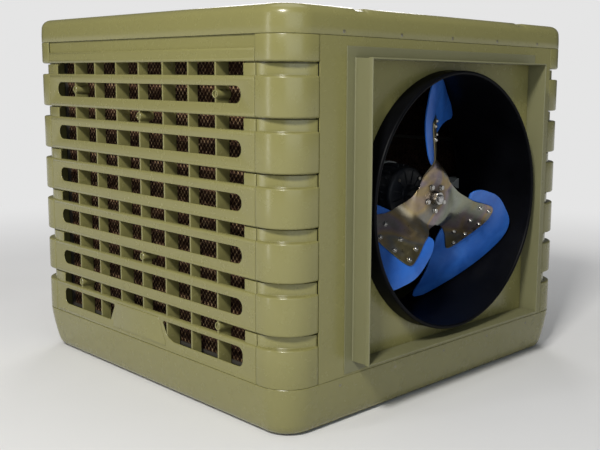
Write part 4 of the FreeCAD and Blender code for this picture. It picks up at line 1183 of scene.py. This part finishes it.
def make_blade_bolts():
    """Domed heads in front, washers, nuts and thread ends behind."""
    b = Build()
    random.seed(11)
    for arm in ARM_ANGLES:
        for radius, phi in BLADE_BOLTS:
            face = fan_point(radius, phi, arm, -0.4 - SPIDER_T)
            rear = fan_point(radius, phi, arm, BLADE_T + 0.2)
            back = (rear - face).normalized()
            b.lathe([(0, 0), (7, 0), (7, 0.8), (6.6, 1.2), (0, 1.2)], face, -back, 24)
            b.lathe([(0, 1.2), (4.8, 1.2), (5, 2.2), (4.5, 3.8), (3.2, 4.9), (0, 5.4)],
                    face, -back, 24)
            b.lathe([(0, 0), (7, 0), (7, 1.2), (0, 1.2)], rear, back, 24)
            hexagon(b, rear + back * 1.2, back, 10, 5.6, random.uniform(0, 1))
            thread(b, rear + back * 6.5, back, 3, 9 + random.uniform(-0.6, 0.6), 1, 12)
    return b


def make_hub_bolts():
    b = Build()
    for k in range(5):
        degrees = 49 + 72 * k
        a = radians(degrees)
        front = about_axis(HUB_BOLT_R, degrees, HUB_Y - 5)
        b.lathe([(0, 0), (7.4, 0), (7.4, 0.9), (6.9, 1.3), (0, 1.3)], front, FRONT, 24)
        hexagon(b, front + Vector(FRONT) * 1.3, FRONT, 11, 4.2, a)
        hexagon(b, about_axis(HUB_BOLT_R + 1, degrees, HUB_Y + 8.3), REAR, 13, 6.5, a)
        thread(b, about_axis(HUB_BOLT_R, degrees, HUB_Y + 14.6), REAR, 4, 5, 1.25, 12)
    return b


WASHER_Y = WASHER_BACK - 1
WASHER_T = 2.5
NUT_T = 12
NUT_FRONT = WASHER_Y - WASHER_T - NUT_T


def make_hub_washer():
    profile = [(10.3, 0), (19, 0), (19, 1.8), (18.2, WASHER_T), (10.9, WASHER_T), (10.3, 1.9)]
    return Build().lathe(profile, (0, WASHER_Y, AXIS_Z), FRONT, 48, closed=True)


def make_hub_nut():
    return hexagon(Build(), (0, WASHER_Y - WASHER_T, AXIS_Z), FRONT, 30, NUT_T, 0.35)


def make_shaft():
    """Its threaded end stands out of the nut, and a shoulder seats the hub."""
    b = Build()
    thread(b, (0, NUT_FRONT + 0.5, AXIS_Z), FRONT, SHAFT_R, NUT_FRONT - SHAFT_FRONT + 0.5, 1.5,
           32)
    return b.lathe([(0, 0), (SHAFT_R, 0), (SHAFT_R, 18), (14, 19.5), (14, 250), (0, 250)],
                   (0, HUB_Y - 15, AXIS_Z), REAR, 48)


for number, arm in enumerate(ARM_ANGLES, 1):
    piece("blade_%d" % number, make_blade(arm), "blade_plastic", ["fan_blade_%d" % number],
          "fan_rotor", bevel=1.3)
piece("spider_plate", make_spider(), "passivated_steel", ["fan_spider"], "fan_rotor", bevel=0.7)
for name, shape, slot, node, sharp in (
        ("blade_bolt_set", make_blade_bolts(), "bright_bolts", "blade_bolts", 25),
        ("hub_bolt_set", make_hub_bolts(), "bright_bolts", "hub_bolts", 25),
        ("hub_plain_washer", make_hub_washer(), "passivated_steel", "hub_washer", 32),
        ("hub_nut_body", make_hub_nut(), "bright_bolts", "hub_nut", 25),
        ("shaft_turned", make_shaft(), "machined_steel", "motor_shaft", 25)):
    piece(name, shape, slot, [node], "fan_rotor", sharp)

# ---- motor

SHIELD_Y = SHIELD_FRONT + 8


def make_shield():
    """Cast end shield with a boss ring."""
    profile = [(14.3, -8), (22, -8), (24, -7), (25, -2), (27, 0.5), (31, 1.2), (33, 1.8),
               (60, 2.6), (66, 3.2), (71, 5.4), (73.2, 8.5), (74, 12), (74, 15.7), (14.3, 15.7)]
    return Build().lathe(profile, (0, SHIELD_Y, AXIS_Z), REAR, 96, closed=True)


def make_shield_ribs():
    b = Build()
    shape = [(31, 1.6), (31, -1), (60, 0.4), (68, 3.6), (68, 6), (40, 4)]
    for k in range(12):
        c = cos(radians(15 + 30 * k))
        s = sin(radians(15 + 30 * k))
        b.loft([[(r * c - w * s, SHIELD_Y + t, AXIS_Z + r * s + w * c) for r, t in shape]
                for w in (-1.6, 1.6)])
    return b


def make_shield_screws():
    b = Build()
    for k in range(4):
        degrees = 45 + 90 * k
        hexagon(b, about_axis(57, degrees, SHIELD_Y + 2.8), FRONT, 8, 4,
                radians(degrees))
    return b


piece("shield_casting", make_shield(), "motor_paint", ["motor_end_shield"], sharp=30)
piece("shield_ribs", make_shield_ribs(), "motor_paint", bevel=0.5)
piece("shield_screws", make_shield_screws(), "zinc_screws", sharp=25)

# ---- floor and backdrop

BACKDROP = (0.783, 0.783, 0.783)
FLOOR_SIZE = 40
FLOOR_Z = -0.0005


def floor_matte(slot):
    """A pale floor that fades into the backdrop away from the cooler."""
    m = Surface(slot)
    tone = m.ramp(m.noise(1.2), (0.3, (0.7, 0.7, 0.7)), (0.7, (0.74, 0.74, 0.74)))
    m.set(Base_Color=tone, Roughness=0.9)
    distance = m.node("VectorMath", {0: m.place}, operation="LENGTH").outputs["Value"]
    fade = m.node("MapRange", {"Value": distance, "From Min": 1, "From Max": 3.4, "To Min": 0,
                               "To Max": 1}, interpolation_type="SMOOTHSTEP")
    glow = m.node("Emission", {"Color": BACKDROP})
    sweep = m.node("MixShader", {0: fade.outputs["Result"], 1: m.shader.outputs["BSDF"],
                                 2: glow.outputs["Emission"]})
    m.feed(m.output.inputs["Surface"], sweep.outputs["Shader"])


floor_matte("floor_matte")
bpy.ops.mesh.primitive_plane_add(size=FLOOR_SIZE, location=(0, 0, FLOOR_Z))
floor = bpy.context.object
floor.name = "floor"
floor.data.materials.append(MATERIALS["floor_matte"])

scene = bpy.context.scene
scene.view_settings.view_transform = "Standard"
scene.world = bpy.data.worlds.new("studio")
studio = Nodes(scene.world)
fill = studio.node("Background", {"Color": (0.9, 0.93, 1), "Strength": 0.1})
backdrop = studio.node("Background", {"Color": BACKDROP, "Strength": 1})
seen = studio.node("LightPath").outputs["Is Camera Ray"]
either = studio.node("MixShader", {0: seen, 1: fill.outputs[0], 2: backdrop.outputs[0]})
studio.node("OutputWorld", {"Surface": either.outputs[0]})

# ---- lights and camera


def softbox(name, place, target, size, power, colour=(1, 1, 1)):
    """A rectangular light of a size in metres and a power in watts, aimed at a target."""
    data = bpy.data.lights.new(name, "AREA")
    data.shape = "RECTANGLE"
    data.size, data.size_y = size
    data.energy = power
    data.color = colour
    lamp = bpy.data.objects.new(name, data)
    bpy.context.collection.objects.link(lamp)
    lamp.location = place
    lamp.rotation_mode = "QUATERNION"
    lamp.rotation_quaternion = (Vector(target) - Vector(place)).to_track_quat("-Z", "Y")


softbox("key", (-3.7, -2.15, 3.9), (0, 0, 0.45), (0.8, 0.8), 250, (1, 0.98, 0.94))
softbox("window", (-1.9, -3.7, 1.5), (-0.4, -0.5, 0.5), (3.4, 1.9), 29, (0.84, 0.92, 1))
softbox("strip", (-3.1, 0.3, 1), (-0.5, -0.5, 0.6), (0.3, 2.2), 12)
softbox("top", (0, 0, 4.5), (0, 0, 0.5), (3, 3), 40)
softbox("rear", (3.6, 3.8, 2.6), (0, 0, 0.4), (2.4, 1.8), 90, (1, 0.99, 0.97))

CAMERA_PLACE = Vector((-1.7557, -1.9156, 0.7923))
CAMERA_YAW = radians(46.02)
CAMERA_PITCH = radians(8.276)
CAMERA_ROLL = radians(0.656)

lens = bpy.data.cameras.new("camera")
lens.sensor_width = 36
lens.lens = 52.854
lens.shift_x = -0.0915
lens.shift_y = -0.0281667
lens.clip_start = 0.05
lens.clip_end = 60
camera = bpy.data.objects.new("camera", lens)
bpy.context.collection.objects.link(camera)
camera.matrix_world = (Matrix.Translation(CAMERA_PLACE) @ Matrix.Rotation(-CAMERA_YAW, 4, "Z")
                       @ Matrix.Rotation(pi / 2 - CAMERA_PITCH, 4, "X")
                       @ Matrix.Rotation(CAMERA_ROLL, 4, "Z"))
scene.camera = camera
